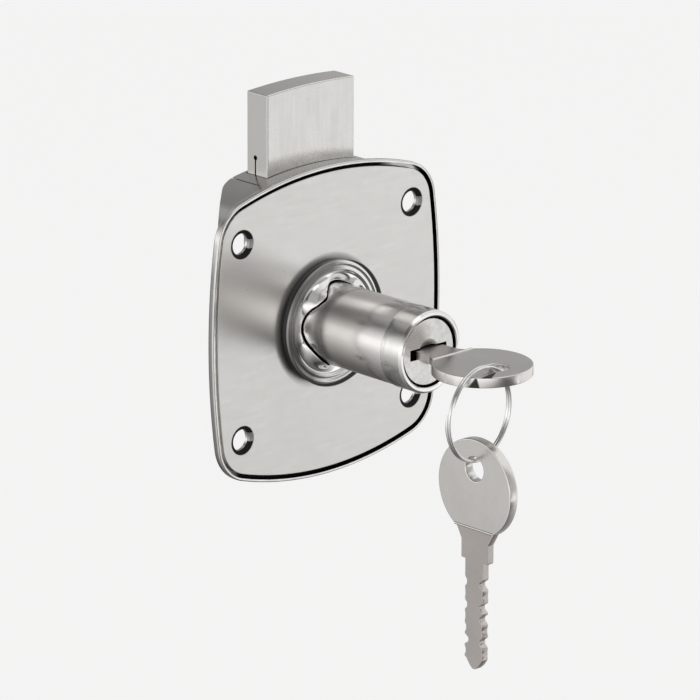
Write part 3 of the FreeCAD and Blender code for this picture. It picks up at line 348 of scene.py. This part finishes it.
def plate_shade(place):
    """Painted shade in the bores, on the plate's own side, and round the collar."""
    # Painted shade darkens the wall of a screw hole but for one patch that faces outward.
    hole_side = place.x - SCREW_X * place.x.sign()
    patch = hole_side.over(PATCH_FROM) * abs(abs(place.z) - PATCH_Z).under(PATCH_HALF) * 0.62
    bore = place.screw().under(SINK_RADIUS) * span(place.y, 0.01, 0.06) * (0.97 - patch)
    side = span(place.y, 0.14, 0.32) * place.edge().over(-0.4) * span(place.x, -34, -28)
    # Painted shadow of the collar: two circles a little off the axis, a soft shade and a crisp
    # one inside it.
    lean = ((place.x + 0.35) ** 2 + place.z * place.z) ** 0.5
    fall = ((place.x - 2.75) ** 2 + (place.z + 1.2) ** 2) ** 0.5
    soft = (span(lean, 15.3, 17.3, 0.82, 0.0) * span(place.z, -16.5, -9.5)
            * span(place.z, 6, 15, 1.0, 0.75))
    ring = soft.most(span(fall, 15.7, 15.95, 0.9, 0.0))
    return bore.most(side).most(ring * place.radius.over(14.9) * place.y.under(0.3))


satin_plate = metal("satin_plate", NICKEL, 0.285, stretch=(0.12, 1, 1), grain=0.000002,
                    patch=0.015, tint=(0.765, 0.755, 0.735), dark=plate_shade)
print("made", satin_plate.name)

# %% [markdown]
# ## Finish of the barrel
# The collar is polished until it mirrors the room, the sleeve and the cap on
# its end are turned, and the round face of the plug is brushed. A turned
# part could carry a true spiral groove; at this size only its streaks show,
# so the noise is stretched instead. The bores, the keyway and the seams
# between the pieces are dark with painted shade. The left of the collar is
# painted darker, with a rougher gloss; that painted shade is tied to its
# place on the metal, so it stays there in every view.

# %% Polished collar
LIP_RADIUS, WALL_RADIUS = 10.33, 15.1


def lip_shade(place):
    """Painted shade: the crevice round the barrel, the outer wall, and the left of the collar.
    """
    crevice = place.radius.under(LIP_RADIUS)
    # Painted shade: the outer wall is darker on the left, and darkest at its front.
    wall = (place.radius.over(WALL_RADIUS) * span(place.y, -2.0, -1.75)
            * span(place.x, 5, -5, 0.3, 1.0) * span(place.y, -1.75, -0.2, 0.98, 0.65))
    # Painted shade, with a rougher gloss: the beads darken towards the left, and the dish only
    # at its far left.
    beads = span(place.x - place.z * 0.25, 1.0, -4.0, 0.0, 0.66) * span(place.radius, 12.4, 13.1)
    dish = span(place.x, -9.5, -11.5, 0.0, 0.55) * place.radius.over(11.0)
    return crevice.most(wall).most(beads).most(dish)


mirror_collar = metal("mirror_collar", (0.88, 0.875, 0.86), 0.075, grain=0.0000007,
                      patch=0.01, dark=lip_shade)
print("made", mirror_collar.name)

# %% Turned sleeve, cap and plug
CAP_FACE, CAP_BORE = -34.0, 8.78
KEYWAY_HALF_HEIGHT, KEYWAY_HALF_WIDTH = 1.5, 6.15
PLUG_RIM = 8.3


def cap_shade(place):
    """Painted shade in the bore of the cap, and in the fine line where it meets the sleeve, on
    its lower side only.
    """
    bore = place.radius.under(CAP_BORE) * place.y.under(CAP_FACE)
    seam = span(place.y, -29.3, -29.15) * span(place.z, 6, 2) * 0.75
    return bore.most(seam)


def plug_shade(place):
    """Dark inside the keyway, in the dish round it and at the rim of the plug."""
    # The keyway is dark from just behind its mouth.
    mouth = (abs(place.z).under(KEYWAY_HALF_HEIGHT) * abs(place.x).under(KEYWAY_HALF_WIDTH)
             * span(place.y, -35.05, -34.8))
    dish = span(place.radius, 2.0, 3.3, 0.78, 0.0) * place.y.under(CAP_FACE)
    rim = place.radius.over(PLUG_RIM) * place.y.under(CAP_FACE)
    return mouth.most(dish).most(rim * 0.85)


turned_sleeve = metal("turned_sleeve", (0.82, 0.80, 0.785), 0.17, stretch=(1, 0.05, 1),
                      grain=0.000003)
turned_cap = metal("turned_cap", (0.82, 0.81, 0.79), 0.15, stretch=(0.15, 2.5, 0.15),
                   grain=0.000003, dark=cap_shade)
plug_face_metal = metal("plug_face_metal", (0.74, 0.73, 0.71), 0.24, grain=0.000006,
                        dark=plug_shade)
print("made", turned_sleeve.name, turned_cap.name, plug_face_metal.name)

# %% [markdown]
# ## Finish of the bolt
# The bolt is ground along its length, and its narrow left side has a slit
# that ends in a round eye. The cut itself is in the solid; its inside would
# glow from stray reflections, so painted shade darkens it by distance from
# its middle. The narrow left side is painted a little darker too.

# %% Ground bolt
BOLT_SIDE = -14.25
SLIT_Y, SLIT_HALF, SLIT_END = 10.2, 0.24, 41.9
EYE_Z, EYE_RADIUS_SQUARED = 41.45, 0.42


def bolt_shade(place):
    """The left side of the bolt is painted a little darker with a rougher gloss, and its slit is
    dark: painted shade.
    """
    side = place.x.under(BOLT_SIDE) * 0.18
    inside = place.x.under(-13.2) * place.x.over(-14.3)
    slit = abs(place.y - SLIT_Y).under(SLIT_HALF) * place.z.under(SLIT_END)
    eye = ((place.y - SLIT_Y) ** 2 + (place.z - EYE_Z) ** 2).under(EYE_RADIUS_SQUARED)
    return side.most(slit.most(eye) * inside)


ground_nickel = metal("ground_nickel", NICKEL, 0.27, stretch=(1, 1, 0.1), grain=0.0000015,
                      patch=0.015, tint=(0.76, 0.75, 0.73), dark=bolt_shade)
print("made", ground_nickel.name)

# %% [markdown]
# ## Finish of the keys and the ring
# The bow of a key is smooth, and its stem, which slides in and out of the
# lock, is duller. A mesh can hold two materials, so bow and stem stay one
# piece. Beside the wire ring the bow of the key in the lock shows two dark
# marks: one on top and one on the rounded side. They are painted shadow and
# reflection of the ring. They may be the mirrored ring. They could be thin
# pieces of their own, but as masks they lie in the surface itself. The stems
# of the two keys are lit and shaded copies of one finish: painted lighter on
# the key in the lock, and painted darker on the spare.

# %% Keys and wire
MARK_X, MARK_Y = -3.05, -60.9
MARK_ALONG, MARK_ACROSS = -0.9277, 0.3733


def ring_shade_marks(place):
    """Painted shadow and reflection of the wire ring: dark marks on the bow of the turned key.
    """
    u = (place.x - MARK_X) * MARK_ALONG - (place.y - MARK_Y) * MARK_ACROSS
    v = abs((place.x - MARK_X) * MARK_ACROSS + (place.y - MARK_Y) * MARK_ALONG)
    top = (place.z.over(1.15) * span(v - u * 0.17, 0.1, 0.35, 0.9, 0.0)
           * u.over(0) * u.under(6))
    fall = place.z + 1.2
    left = span(place.x - fall * 0.42, -10.75, -10.45)
    right_end = span(place.x + fall * 0.2, -9.0, -8.8, 1.0, 0.0)
    return top.most(place.z.under(1.1) * left * right_end * place.y.under(-58) * 0.93)


BOW_FINISH = dict(colour=(0.84, 0.82, 0.795), rough=0.24, grain=0.000002, grain_scale=1200,
                  patch=0.02)
STEM_FINISH = dict(grain=0.000004, grain_scale=1600, patch=0.03)
key_satin = metal("key_satin", **BOW_FINISH)
# The bow of the key in the lock carries the painted shadow and reflection of the ring.
bow_with_ring_shade = metal("bow_with_ring_shade", **BOW_FINISH, dark=ring_shade_marks)
# Painted shade: the stem of the spare is a darker copy of the stem finish.
key_stem = metal("key_stem", (0.63, 0.59, 0.565), 0.28, **STEM_FINISH)
# Painted light: the stem of the key in the lock is a lighter copy of the same finish.
stem_painted_lighter = metal("stem_painted_lighter", (0.84, 0.79, 0.77), 0.34, **STEM_FINISH)
bright_wire = metal("bright_wire", (0.86, 0.86, 0.86), 0.10, grain=0.000002, patch=0.03)
print("made", key_satin.name, bow_with_ring_shade.name, key_stem.name, stem_painted_lighter.name,
      bright_wire.name)

# %% [markdown]
# ## Finishes inside the lock
# What turns and slides behind the plate is plainer: a die cast body, brass
# tumblers, blued spring steel, zinc plate. One grey metal would do for a
# single view, but the lock can be turned round and taken apart, so each of
# these metals gets its own colour and gloss from the same recipe.

# %% Metals of the works
die_cast = metal("die_cast", (0.56, 0.56, 0.57), 0.45, grain=0.00003, grain_scale=300,
                 patch=0.08)
plain_steel = metal("plain_steel", (0.60, 0.59, 0.58), 0.32, grain=0.00001)
blued_spring = metal("blued_spring", (0.25, 0.25, 0.27), 0.35, grain=0.00001)
stamped_brass = metal("stamped_brass", (0.78, 0.60, 0.30), 0.30, grain=0.00001)
zinc_plate = metal("zinc_plate", (0.66, 0.67, 0.70), 0.28, grain=0.00001)
case_sheet = metal("case_sheet", (0.70, 0.70, 0.69), 0.30, stretch=(1, 1, 0.15),
                   grain=0.000008)
print("made", die_cast.name, plain_steel.name, blued_spring.name, stamped_brass.name,
      zinc_plate.name, case_sheet.name)

# %% Dress every node
FINISH = {"front_plate": satin_plate, "back_cover": satin_cover, "collar": mirror_collar,
          "barrel_sleeve": turned_sleeve, "front_cap": turned_cap, "cylinder_body": die_cast,
          "cylinder_rivets": plain_steel, "plug": plug_face_metal, "plug_clip": blued_spring,
          "wafers_right": stamped_brass, "wafers_left": stamped_brass,
          "wafer_springs": plain_steel, "cam": zinc_plate, "cam_washer": zinc_plate,
          "cam_screw": zinc_plate, "drive_pin": plain_steel, "bolt": ground_nickel,
          "bolt_case": case_sheet, "case_rivets": plain_steel, "bolt_guides": case_sheet,
          "guide_stump": plain_steel, "key": key_satin, "split_ring": bright_wire,
          "spare_key": key_satin}
for name, node in nodes.items():
    if not node.material_slots:
        node.data.materials.append(FINISH[name])
    for held in node.material_slots:
        held.material = FINISH[name]
print("finished", len(FINISH), "nodes")

# %% [markdown]
# ## From numbers to a piece
# Sheet and turned parts need two ways of building. A ring of points that is
# carried round an axis gives a lathe part; a flat outline with holes that is
# filled and given thickness gives a sheet part. Blender's 2D curves fill an
# outline with holes by themselves and can round their edges as they go.

# %% Finish a piece


def finished(piece, body, material, node):
    """Give a piece its body, its finish and the node that it stands for."""
    piece.data.materials.clear()
    piece.data.materials.append(material)
    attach(piece, body)
    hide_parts(node)
    print(piece.name, "replaces", node, "with", len(piece.data.polygons), "faces")


def shown(name, data):
    """Object with a mesh, in the scene."""
    item = bpy.data.objects.new(name, data)
    scene.collection.objects.link(item)
    return item


# %% Lathe parts


def around_axis(count):
    """Cosine and sine of equal steps round the barrel."""
    return [(math.cos(2 * math.pi * i / count), math.sin(2 * math.pi * i / count))
            for i in range(count)]


def from_points(name, rows):
    """Smooth mesh from rows of points in millimetres, closed both ways."""
    mesh = bmesh.new()
    grid = [[mesh.verts.new(Vector(p) * MM) for p in row] for row in rows]
    for row, after in zip(grid, grid[1:] + grid[:1]):
        for j in range(len(row)):
            k = (j + 1) % len(row)
            mesh.faces.new((row[j], row[k], after[k], after[j]))
    bmesh.ops.recalc_face_normals(mesh, faces=mesh.faces)
    data = bpy.data.meshes.new(name)
    mesh.to_mesh(data)
    mesh.free()
    for face in data.polygons:
        face.use_smooth = True
    return shown(name, data)


print("rays round the barrel start at", around_axis(4)[0])

# %% Sheet parts
CREASE = math.radians(35)
FLAT = 0.9995
WELD = 0.000002


def circle_points(u, v, radius, count):
    """Points of a circle, for an outline or a hole."""
    return [(u + radius * c, v + radius * s) for c, s in around_axis(count)]


def sheet_part(name, outlines, thickness, edge, steps=3):
    """Filled outlines in millimetres as a plate with rounded edges, about z = 0."""
    curve = bpy.data.curves.new(name, "CURVE")
    curve.dimensions = "2D"
    curve.fill_mode = "BOTH"
    curve.extrude = (thickness / 2 - edge) * MM
    curve.bevel_depth = edge * MM
    curve.bevel_resolution = steps
    curve.offset = -edge * MM
    for points in outlines:
        spline = curve.splines.new("POLY")
        spline.points.add(len(points) - 1)
        for point, (u, v) in zip(spline.points, points):
            point.co = (u * MM, v * MM, 0, 1)
        spline.use_cyclic_u = True
    shaped = bpy.data.objects.new(name + "_outline", curve)
    data = bpy.data.meshes.new_from_object(shaped)
    bpy.data.objects.remove(shaped)
    bpy.data.curves.remove(curve)
    return data


def shade_by_angle(data):
    """Smooth curved faces, and keep broad flat ones flat."""
    data.set_sharp_from_angle(angle=CREASE)
    for face in data.polygons:
        face.use_smooth = max(abs(v) for v in face.normal) < FLAT


def placed(name, data, matrix):
    """Object from a mesh whose points are welded, moved into place and shaded by angle."""
    work = bmesh.new()
    work.from_mesh(data)
    bmesh.ops.remove_doubles(work, verts=work.verts, dist=WELD)
    bmesh.ops.transform(work, matrix=matrix, verts=work.verts)
    work.to_mesh(data)
    work.free()
    shade_by_angle(data)
    return shown(name, data)


print("edges sharper than", round(math.degrees(CREASE)), "degrees stay crisp")

# %% [markdown]
# ## The front plate
# The plate is pressed from sheet, with four bowed sides. Two arcs could be
# joined by hand at each corner; it is simpler to walk along a ray at every
# angle until the rounded outline is met, with the same distance formula as
# the finish uses. The screw holes have a small countersink, cut with cones.

# %% Outline of the plate


def outline_distance(x, z):
    """Distance outward from the outline of the plate, in millimetres."""
    x, z = abs(x), abs(z)
    u, v = x - CORNER_X, z - CORNER_Z
    if v * SIDE_LEAN[0] > u * SIDE_LEAN[1] and u * END_LEAN[1] > v * END_LEAN[0]:
        return math.hypot(u, v) - CORNER
    return max(math.hypot(x + SIDE_MIDDLE, z) - SIDE_BOW,
               math.hypot(x, z + END_MIDDLE) - END_BOW)


plate_outline = []
for c, s in around_axis(360):
    low, high = 20.0, 60.0
    for _ in range(40):
        middle = (low + high) / 2
        if outline_distance(middle * c, middle * s) > 0:
            high = middle
        else:
            low = middle
    plate_outline.append((low * c, low * s))
print("plate reaches", round(max(p[0] for p in plate_outline), 2),
      round(max(p[1] for p in plate_outline), 2))

# %% Plate
PLATE, PLATE_EDGE, BARREL_HOLE = 1.2, 0.14, 9.5
screw_spots = [(x, z) for x in (-SCREW_X, SCREW_X) for z in (-SCREW_Z, SCREW_Z)]
holes = [circle_points(x, z, SCREW_RADIUS, 64) for x, z in screw_spots]
flat = sheet_part("plate_skin", [plate_outline, circle_points(0, 0, BARREL_HOLE, 96)] + holes,
                  PLATE, PLATE_EDGE)
facing = Matrix(((1, 0, 0, 0), (0, 0, 1, PLATE / 2 * MM), (0, 1, 0, 0), (0, 0, 0, 1)))
plate_skin = placed("plate_skin", flat, facing)
print("plate of", PLATE, "mm with", len(holes), "screw holes")

# %% Countersinks
SINK_WIDE, SINK_NARROW, SINK_DEEP, SINK_Y = 5.2, 2.45, 1.1, -0.05
for x, z in screw_spots:
    cone = bmesh.new()
    bmesh.ops.create_cone(cone, cap_ends=True, segments=72, radius1=SINK_WIDE * MM,
                          radius2=SINK_NARROW * MM, depth=SINK_DEEP * MM)
    bmesh.ops.transform(cone, verts=cone.verts,
                        matrix=Matrix.Translation((x * MM, SINK_Y * MM, z * MM))
                        @ Matrix.Rotation(math.radians(-90), 4, "X"))
    sink_mesh = bpy.data.meshes.new("sink")
    cone.to_mesh(sink_mesh)
    cone.free()
    sink = shown("sink", sink_mesh)
    carve = plate_skin.modifiers.new("sink", "BOOLEAN")
    carve.object = sink
    carve.operation = "DIFFERENCE"
    carve.solver = "EXACT"
    bpy.context.view_layer.objects.active = plate_skin
    bpy.ops.object.modifier_apply(modifier="sink")
    bpy.data.objects.remove(sink)
shade_by_angle(plate_skin.data)
finished(plate_skin, "case", satin_plate, "front_plate")

# %% [markdown]
# ## The polished collar
# A stepped ring lies on the plate. Inside its bead the metal falls into a
# shallow dish, and its inner lip climbs the barrel in petals. A lathe part
# is the same all round, so here each ray of the lathe gets its own lip
# height, read from a short table of angles.

# %% Height of the petals
LIP = [(-18, -2.2), (10, -4.6), (35, -4.6), (55, -2.4), (75, -1.0), (88, -1.3), (99, -2.2),
       (116, -4.5), (127, -5.9), (141, -4.9), (149, -3.5), (158, -2.4), (170, -1.7),
       (184, -1.6), (197, -2.4), (208, -3.9), (222, -5.2), (235, -5.4), (250, -4.2),
       (265, -2.4), (285, -1.6), (305, -2.6), (322, -4.2), (335, -3.4)]


def lip_height(angle):
    """Front of the lip at an angle in degrees, on a smooth curve through the table."""
    angle = (angle - LIP[0][0]) % 360 + LIP[0][0]
    i = max(i for i, (a, _) in enumerate(LIP) if a <= angle)
    a, y = LIP[i]
    b, w = LIP[(i + 1) % len(LIP)]
    t = (angle - a) / ((b - a) % 360)
    before = LIP[i - 1][1]
    after = LIP[(i + 2) % len(LIP)][1]
    slope0, slope1 = (w - before) / 2, (after - y) / 2
    return ((2 * t ** 3 - 3 * t ** 2 + 1) * y + (t ** 3 - 2 * t ** 2 + t) * slope0
            + (3 * t ** 2 - 2 * t ** 3) * w + (t ** 3 - t ** 2) * slope1)


print("petals stand", -min(y for _, y in LIP), "mm in front of the plate at the most")

# %% Collar with a petalled lip
BORE = 9.47
STEPS = [(BORE, 0.0), (15.3, 0.0), (15.4, -0.12), (15.4, -1.45), (15.36, -1.75),
         (15.24, -2.02), (15.05, -2.2), (14.8, -2.29), (14.55, -2.27), (14.34, -2.15),
         (14.16, -2.03), (13.98, -2.02), (13.78, -2.13), (13.55, -2.26), (13.3, -2.3),
         (13.06, -2.22), (12.88, -2.06), (12.7, -1.92)]
DISH_RADIUS, DISH_Y = STEPS[-1]
DISH_WIDTH, DISH_STEPS = 2.28, 10
COLLAR_RAYS = 240
collar_rays = []
for i, (c, s) in enumerate(around_axis(COLLAR_RAYS)):
    top = lip_height(360 * i / COLLAR_RAYS)
    profile = list(STEPS)
    for j in range(1, DISH_STEPS + 1):
        t = j / DISH_STEPS
        profile.append((DISH_RADIUS - DISH_WIDTH * t ** 0.8,
                        DISH_Y + (top - DISH_Y) * t ** 1.7))
    profile += [(10.38, top - 0.03), (10.28, top), (10.22, top + 0.1),
                (10.2, min(top + 0.8, -0.7)), (BORE, -0.5)]
    collar_rays.append([(r * c, y, r * s) for r, y in profile])
collar_ring = from_points("collar_ring", collar_rays)
finished(collar_ring, "case", mirror_collar, "collar")

# %% [markdown]
# ## The barrel sleeve
# The sleeve is a thin tube that comes out from under the petals. A cylinder
# primitive has razor edges; a short profile turned round the axis gives it
# the small roundings that a real turned tube has at both ends.

# %% Sleeve
SLEEVE = [(9.46, -1.1), (9.86, -1.1), (9.96, -1.16), (10.0, -1.28), (10.0, -28.86),
          (9.97, -28.95), (9.9, -29.0), (9.46, -29.0)]
sleeve_tube = from_points("sleeve_tube", [[(r * c, y, r * s) for r, y in SLEEVE]
                                          for c, s in around_axis(192)])
finished(sleeve_tube, "case", turned_sleeve, "barrel_sleeve")

# %% [markdown]
# ## The keys
# A flat key is stamped: a thick round bow, a thinner stem, and wavy cuts on
# both edges of the blade. Stamping rounds every edge a little, and those
# narrow edges catch the light, so both layers get a rounded edge. The shape
# is drawn once, lying flat, and used for the key in the lock and the spare.

# %% Cuts of the blade
STOP, PITCH, FIRST_CUT, BLADE = 18.1, 2.9, 5.7, 3.1
CUTS_FROM, CUTS_LENGTH, CUT_POINTS = 3.2, 21.3, 84
CUT_FLAT, CUT_SLOPE = 0.3, 1.15
LEFT_CUTS = (1.15, 0.1, 1.15, 1.0, 0.25, 0.95, 0.05)
RIGHT_CUTS = (0.65, 0.15, 0.75, 0.2, 0.5, 1.3, 0.4)


def wavy(cuts, side, blade):
    """Edge of the blade with rounded cuts, from the shoulder to the tip."""
    points = [(side * blade, STOP)]
    for i in range(CUT_POINTS):
        u = CUTS_FROM + CUTS_LENGTH * i / (CUT_POINTS - 1)
        depth = 0.0
        for j, cut in enumerate(cuts):
            away = abs(u - FIRST_CUT - PITCH * j)
            climb = min(1.0, max(0.0, away - CUT_FLAT) / CUT_SLOPE)
            depth += cut * 0.5 * (1 + math.cos(math.pi * climb))
        points.append((side * (blade - depth), STOP + u))
    return points


print("deepest cuts", max(LEFT_CUTS), "and", max(RIGHT_CUTS), "mm")

# %% Outline of a key
BOW, CHORD, HOLE_AT, HOLE = 12.1, 10.2, -4.8, 3.0
SHOULDER, NECK, BOW_STEPS = 4.45, 13.4, 160
drop = math.sqrt(BOW ** 2 - CHORD ** 2)
corner_angle = math.atan2(CHORD, drop)
bow_outline = []
for i in range(BOW_STEPS + 1):
    angle = math.pi - corner_angle + (math.pi + 2 * corner_angle) * i / BOW_STEPS
    bow_outline.append((BOW * math.cos(angle), BOW * math.sin(angle)))
stem_outline = [(-SHOULDER, NECK), (-drop * 0.99, CHORD - 0.3), (drop * 0.99, CHORD - 0.3),
                (SHOULDER, NECK), (SHOULDER, STOP - 0.3), (SHOULDER - 0.15, STOP)]
stem_outline += wavy(RIGHT_CUTS, 1, BLADE)
stem_outline += [(2.5, STOP + 24.9), (1.5, STOP + 26.2), (0.6, STOP + 27.1), (0.0, STOP + 27.3),
                 (-0.7, STOP + 27.1), (-1.8, STOP + 26.1), (-2.6, STOP + 25.0)]
stem_outline += list(reversed(wavy(LEFT_CUTS, -1, BLADE - 0.2)))
stem_outline += [(0.15 - SHOULDER, STOP), (-SHOULDER, STOP - 0.3)]
print("key outline of", len(bow_outline) + len(stem_outline), "points")

# %% One key
BOW_THICK, BOW_EDGE, STEM_THICK, STEM_EDGE = 2.6, 0.24, 2.0, 0.1
BEAD_RADIUS, BEAD_LEVEL = 0.36, 1.2


def key_piece(name, matrix, node, body, face_metal, stem_metal):
    """Bow, bead and stem of a key as one mesh, moved into place."""
    bow_data = sheet_part(name + "_bow", [bow_outline, circle_points(0, HOLE_AT, HOLE, 64)],
                          BOW_THICK, BOW_EDGE)
    stem_data = sheet_part(name + "_stem", [stem_outline], STEM_THICK, STEM_EDGE, 2)
    both = bmesh.new()
    both.from_mesh(stem_data)
    for face in both.faces:
        face.material_index = 1
    stem_faces = len(both.faces)
    both.from_mesh(bow_data)
    for level in (-BEAD_LEVEL, BEAD_LEVEL):
        bead = bmesh.ops.create_cone(both, cap_ends=True, segments=16, radius1=BEAD_RADIUS * MM,
                                     radius2=BEAD_RADIUS * MM, depth=2 * (drop - 0.15) * MM)
        bmesh.ops.transform(both, verts=bead["verts"],
                            matrix=Matrix.Translation((0, (CHORD - 0.22) * MM, level * MM))
                            @ Matrix.Rotation(math.radians(90), 4, "Y"))
    for face in list(both.faces)[stem_faces:]:
        face.material_index = 0
    data = bpy.data.meshes.new(name)
    both.to_mesh(data)
    both.free()
    bpy.data.meshes.remove(bow_data)
    bpy.data.meshes.remove(stem_data)
    piece = placed(name, data, matrix)
    marks = [face.material_index for face in piece.data.polygons]
    finished(piece, body, face_metal, node)
    piece.data.materials.append(stem_metal)
    piece.data.polygons.foreach_set("material_index", marks)


print("bow", BOW_THICK, "mm thick, stem", STEM_THICK, "mm")

# %% Both keys
KEY_BOW_Y = -53.4
SPARE_HANGS = Vector((-6.55, -58.99, -26.85))
lying = Matrix.Translation(Vector((0, KEY_BOW_Y, 0)) * MM)
hanging = (Matrix.Translation(SPARE_HANGS * MM) @ Matrix.Rotation(math.radians(90), 4, "Z")
           @ Matrix.Rotation(math.radians(-90), 4, "X"))
# The key in the lock takes the bow with the painted ring shade and the stem painted lighter.
key_piece("turned_key", lying, "key", "key", bow_with_ring_shade, stem_painted_lighter)
key_piece("hung_key", hanging, "spare_key", "spare_key", key_satin, key_stem)

# %% [markdown]
# ## The wire ring
# The ring is one wire wound nearly twice. A torus would show only one turn;
# a curve that follows a helix and carries a round bevel shows both, with
# their cut ends lying against each other.

# %% Wound ring
RING = Vector((-6.55, -59.15, -8.6))
WIRE_RADIUS, RING_RADIUS, RING_PITCH, TURNS, START, YAW = 0.36, 11.4, 0.78, 1.97, 158.5, 7.4
PATH_STEPS, TIP_WIDTH, TIP_STEPS = 360, 0.45, 14
wire_curve = bpy.data.curves.new("wound_ring", "CURVE")
wire_curve.dimensions = "3D"
wire_curve.bevel_depth = WIRE_RADIUS * MM
wire_curve.bevel_resolution = 6
wire_curve.use_fill_caps = True
path = wire_curve.splines.new("POLY")
path.points.add(PATH_STEPS)
for i in range(PATH_STEPS + 1):
    turned = 360 * TURNS * i / PATH_STEPS
    angle = math.radians(turned - START)
    height = RING_PITCH * (turned / 360 - TURNS / 2)
    spot = Vector((RING_RADIUS * math.cos(angle), height, -RING_RADIUS * math.sin(angle)))
    spot = Matrix.Rotation(math.radians(YAW), 3, "Z") @ spot + RING
    path.points[i].co = (*(spot * MM), 1)
    path.points[i].radius = min(1.0, TIP_WIDTH + min(i, PATH_STEPS - i) / TIP_STEPS)
shaped = bpy.data.objects.new("wound_ring_path", wire_curve)
ring_mesh = bpy.data.meshes.new_from_object(shaped)
bpy.data.objects.remove(shaped)
wound_ring = placed("wound_ring", ring_mesh, Matrix.Identity(4))
finished(wound_ring, "ring", bright_wire, "split_ring")

# %% [markdown]
# ## The ground
# The photograph is a studio shot on an endless pale ground. A curved
# backdrop would need care where it bends; a wide pale floor far below the
# lock gives the same ground without a hard shadow. It glows a little by
# itself, so that it stays even from edge to edge, and the metal doesn't
# mirror it.

# %% Floor
FLOOR_DROP, FLOOR_HALF, FLOOR_GREY, FLOOR_GLOW = 0.32, 9.0, 0.35, 0.695
floor_mesh = bpy.data.meshes.new("floor")
floor_mesh.from_pydata([(-FLOOR_HALF, -FLOOR_HALF, 0), (FLOOR_HALF, -FLOOR_HALF, 0),
                        (FLOOR_HALF, FLOOR_HALF, 0), (-FLOOR_HALF, FLOOR_HALF, 0)], [],
                       [(0, 1, 2, 3)])
floor = shown("floor", floor_mesh)
floor.location.z = -FLOOR_DROP
floor.visible_glossy = False
ground = bpy.data.materials.new("pale_ground")
ground.use_nodes = True
ground_shader = ground.node_tree.nodes["Principled BSDF"]
ground_shader.inputs["Base Color"].default_value = (FLOOR_GREY, FLOOR_GREY, FLOOR_GREY, 1)
ground_shader.inputs["Roughness"].default_value = 0.95
ground_shader.inputs["Specular IOR Level"].default_value = 0.0
ground_shader.inputs["Emission Color"].default_value = (1, 1, 1, 1)
ground_shader.inputs["Emission Strength"].default_value = FLOOR_GLOW
floor_mesh.materials.append(ground)
print("floor", FLOOR_DROP, "m below the middle of the lock")

# %% [markdown]
# ## The studio round the lock
# What makes metal look like metal is what stands round it. Area lights and
# cards could be set up one by one; here the studio is a sky whose brightness
# depends on direction: a soft box that the plate mirrors, and panels and
# dark flags in three zones, behind the lock, beside it and in front of it.
# The barrel mirrors each zone as bands along its length, so the panels are
# listed by their angle round the barrel.

# %% Panels and flags
sky = bpy.data.worlds.new("studio")
scene.world = sky
sky.use_nodes = True
backdrop = sky.node_tree.nodes["Background"]
start = Wire(sky.node_tree, None)
direction = start.node("ShaderNodeTexCoord", out=0)
east, north, rise = [start.node("ShaderNodeSeparateXYZ", {0: direction}, out=i)
                     for i in range(3)]
round_barrel = start.node("ShaderNodeMath", {0: rise, 1: east}, operation="ARCTAN2")
round_barrel = round_barrel / (2 * math.pi) + 0.5

# Angle round the barrel in degrees, counted from the right over the top, and brightness.
BEHIND = [(-181, 1.2), (-157, 0.61), (-133, 0.38), (-109, 0.22), (-85, 0.14), (-66, 0.16),
          (-52, 0.4), (-34, 0.45), (-20, 0.38), (11, 0.47), (35, 0.35), (59, 0.22), (74, 0.3),
          (86, 0.42), (108, 0.4), (131, 0.14), (152, 0.7), (170, 1.25)]
BESIDE = [(-181, 1.2), (-150, 0.85), (-120, 0.4), (-90, 0.14), (-58, 0.14), (-42, 0.4),
          (-26, 0.9), (0, 0.95), (60, 0.92), (80, 0.7), (110, 0.4), (140, 0.45), (160, 0.95),
          (178, 1.2)]
BEFORE = [(-181, 1.4), (-157, 0.85), (-133, 0.5), (-109, 0.23), (-85, 0.15), (-61, 0.1),
          (-37, 0.12), (-13, 0.46), (11, 0.5), (35, 0.42), (60, 0.34), (72, 0.9), (86, 0.9),
          (97, 0.18), (131, 0.09), (152, 0.6), (170, 1.4)]
print(len(BEHIND) + len(BESIDE) + len(BEFORE), "panels and flags")

# %% Studio sky
DARK_FLAG = 0.3
SOFTBOX_AIM = Vector((0.662, -0.70, -0.268))
SOFTBOX_LIGHT, PALE = 1.2, 0.9


def grey(value, warm=0.0):
    """Grey of a brightness, a little warmer if asked."""
    return (value * (1 + warm), value, value * (1 - warm), 1)


def panels(table):
    """Studio panels as a ramp over the angle; dark flags are slightly warm."""
    stops = [(min(max((a + 180) / 360, 0), 1), grey(v, 0.03 if v < DARK_FLAG else 0.008))
             for a, v in table]
    return round_barrel.node("ShaderNodeValToRGB", {0: round_barrel}, stops=stops)


facing_box = east * SOFTBOX_AIM.x + north * SOFTBOX_AIM.y + rise * SOFTBOX_AIM.z
softbox = span(facing_box, 0.984, 0.997)
tent = blend_colour(span(north, -0.63, -0.55, 1.0, 0.0), panels(BESIDE), panels(BEFORE))
tent = blend_colour(span(north, 0.3, 0.42), tent, panels(BEHIND))
tent = blend_colour(softbox, tent, grey(SOFTBOX_LIGHT))
# What the lens sees past the floor is as pale as the floor itself.
seen = start.node("ShaderNodeLightPath", out=0)
tent = blend_colour(seen, tent, grey(PALE))
sky.node_tree.links.new(tent.socket, backdrop.inputs["Color"])
backdrop.inputs["Strength"].default_value = 1.0
print("sky of", len(sky.node_tree.nodes), "nodes")

# %% [markdown]
# ## One soft lamp
# The sky alone lights the metal evenly. One broad lamp high in front gives
# the rounded edges a fine highlight and the pieces a soft shade below. A sun
# would draw its shadows too hard, so this is an area light.

# %% Lamp
LAMP_AT, LAMP_SIZE, LAMP_POWER = Vector((0.12, -0.95, 1.6)), 0.8, 1.5
lamp_data = bpy.data.lights.new("key_light", "AREA")
lamp_data.size = LAMP_SIZE
lamp_data.energy = LAMP_POWER
lamp = shown("key_light", lamp_data)
lamp.location = LAMP_AT
lamp.rotation_euler = (-LAMP_AT).to_track_quat("-Z", "Y").to_euler()
# Plain colours, so that the ground stays as pale as in the photograph.
scene.view_settings.view_transform = "Standard"
print("lamp", round(LAMP_AT.length, 2), "m from the lock")

# %% [markdown]
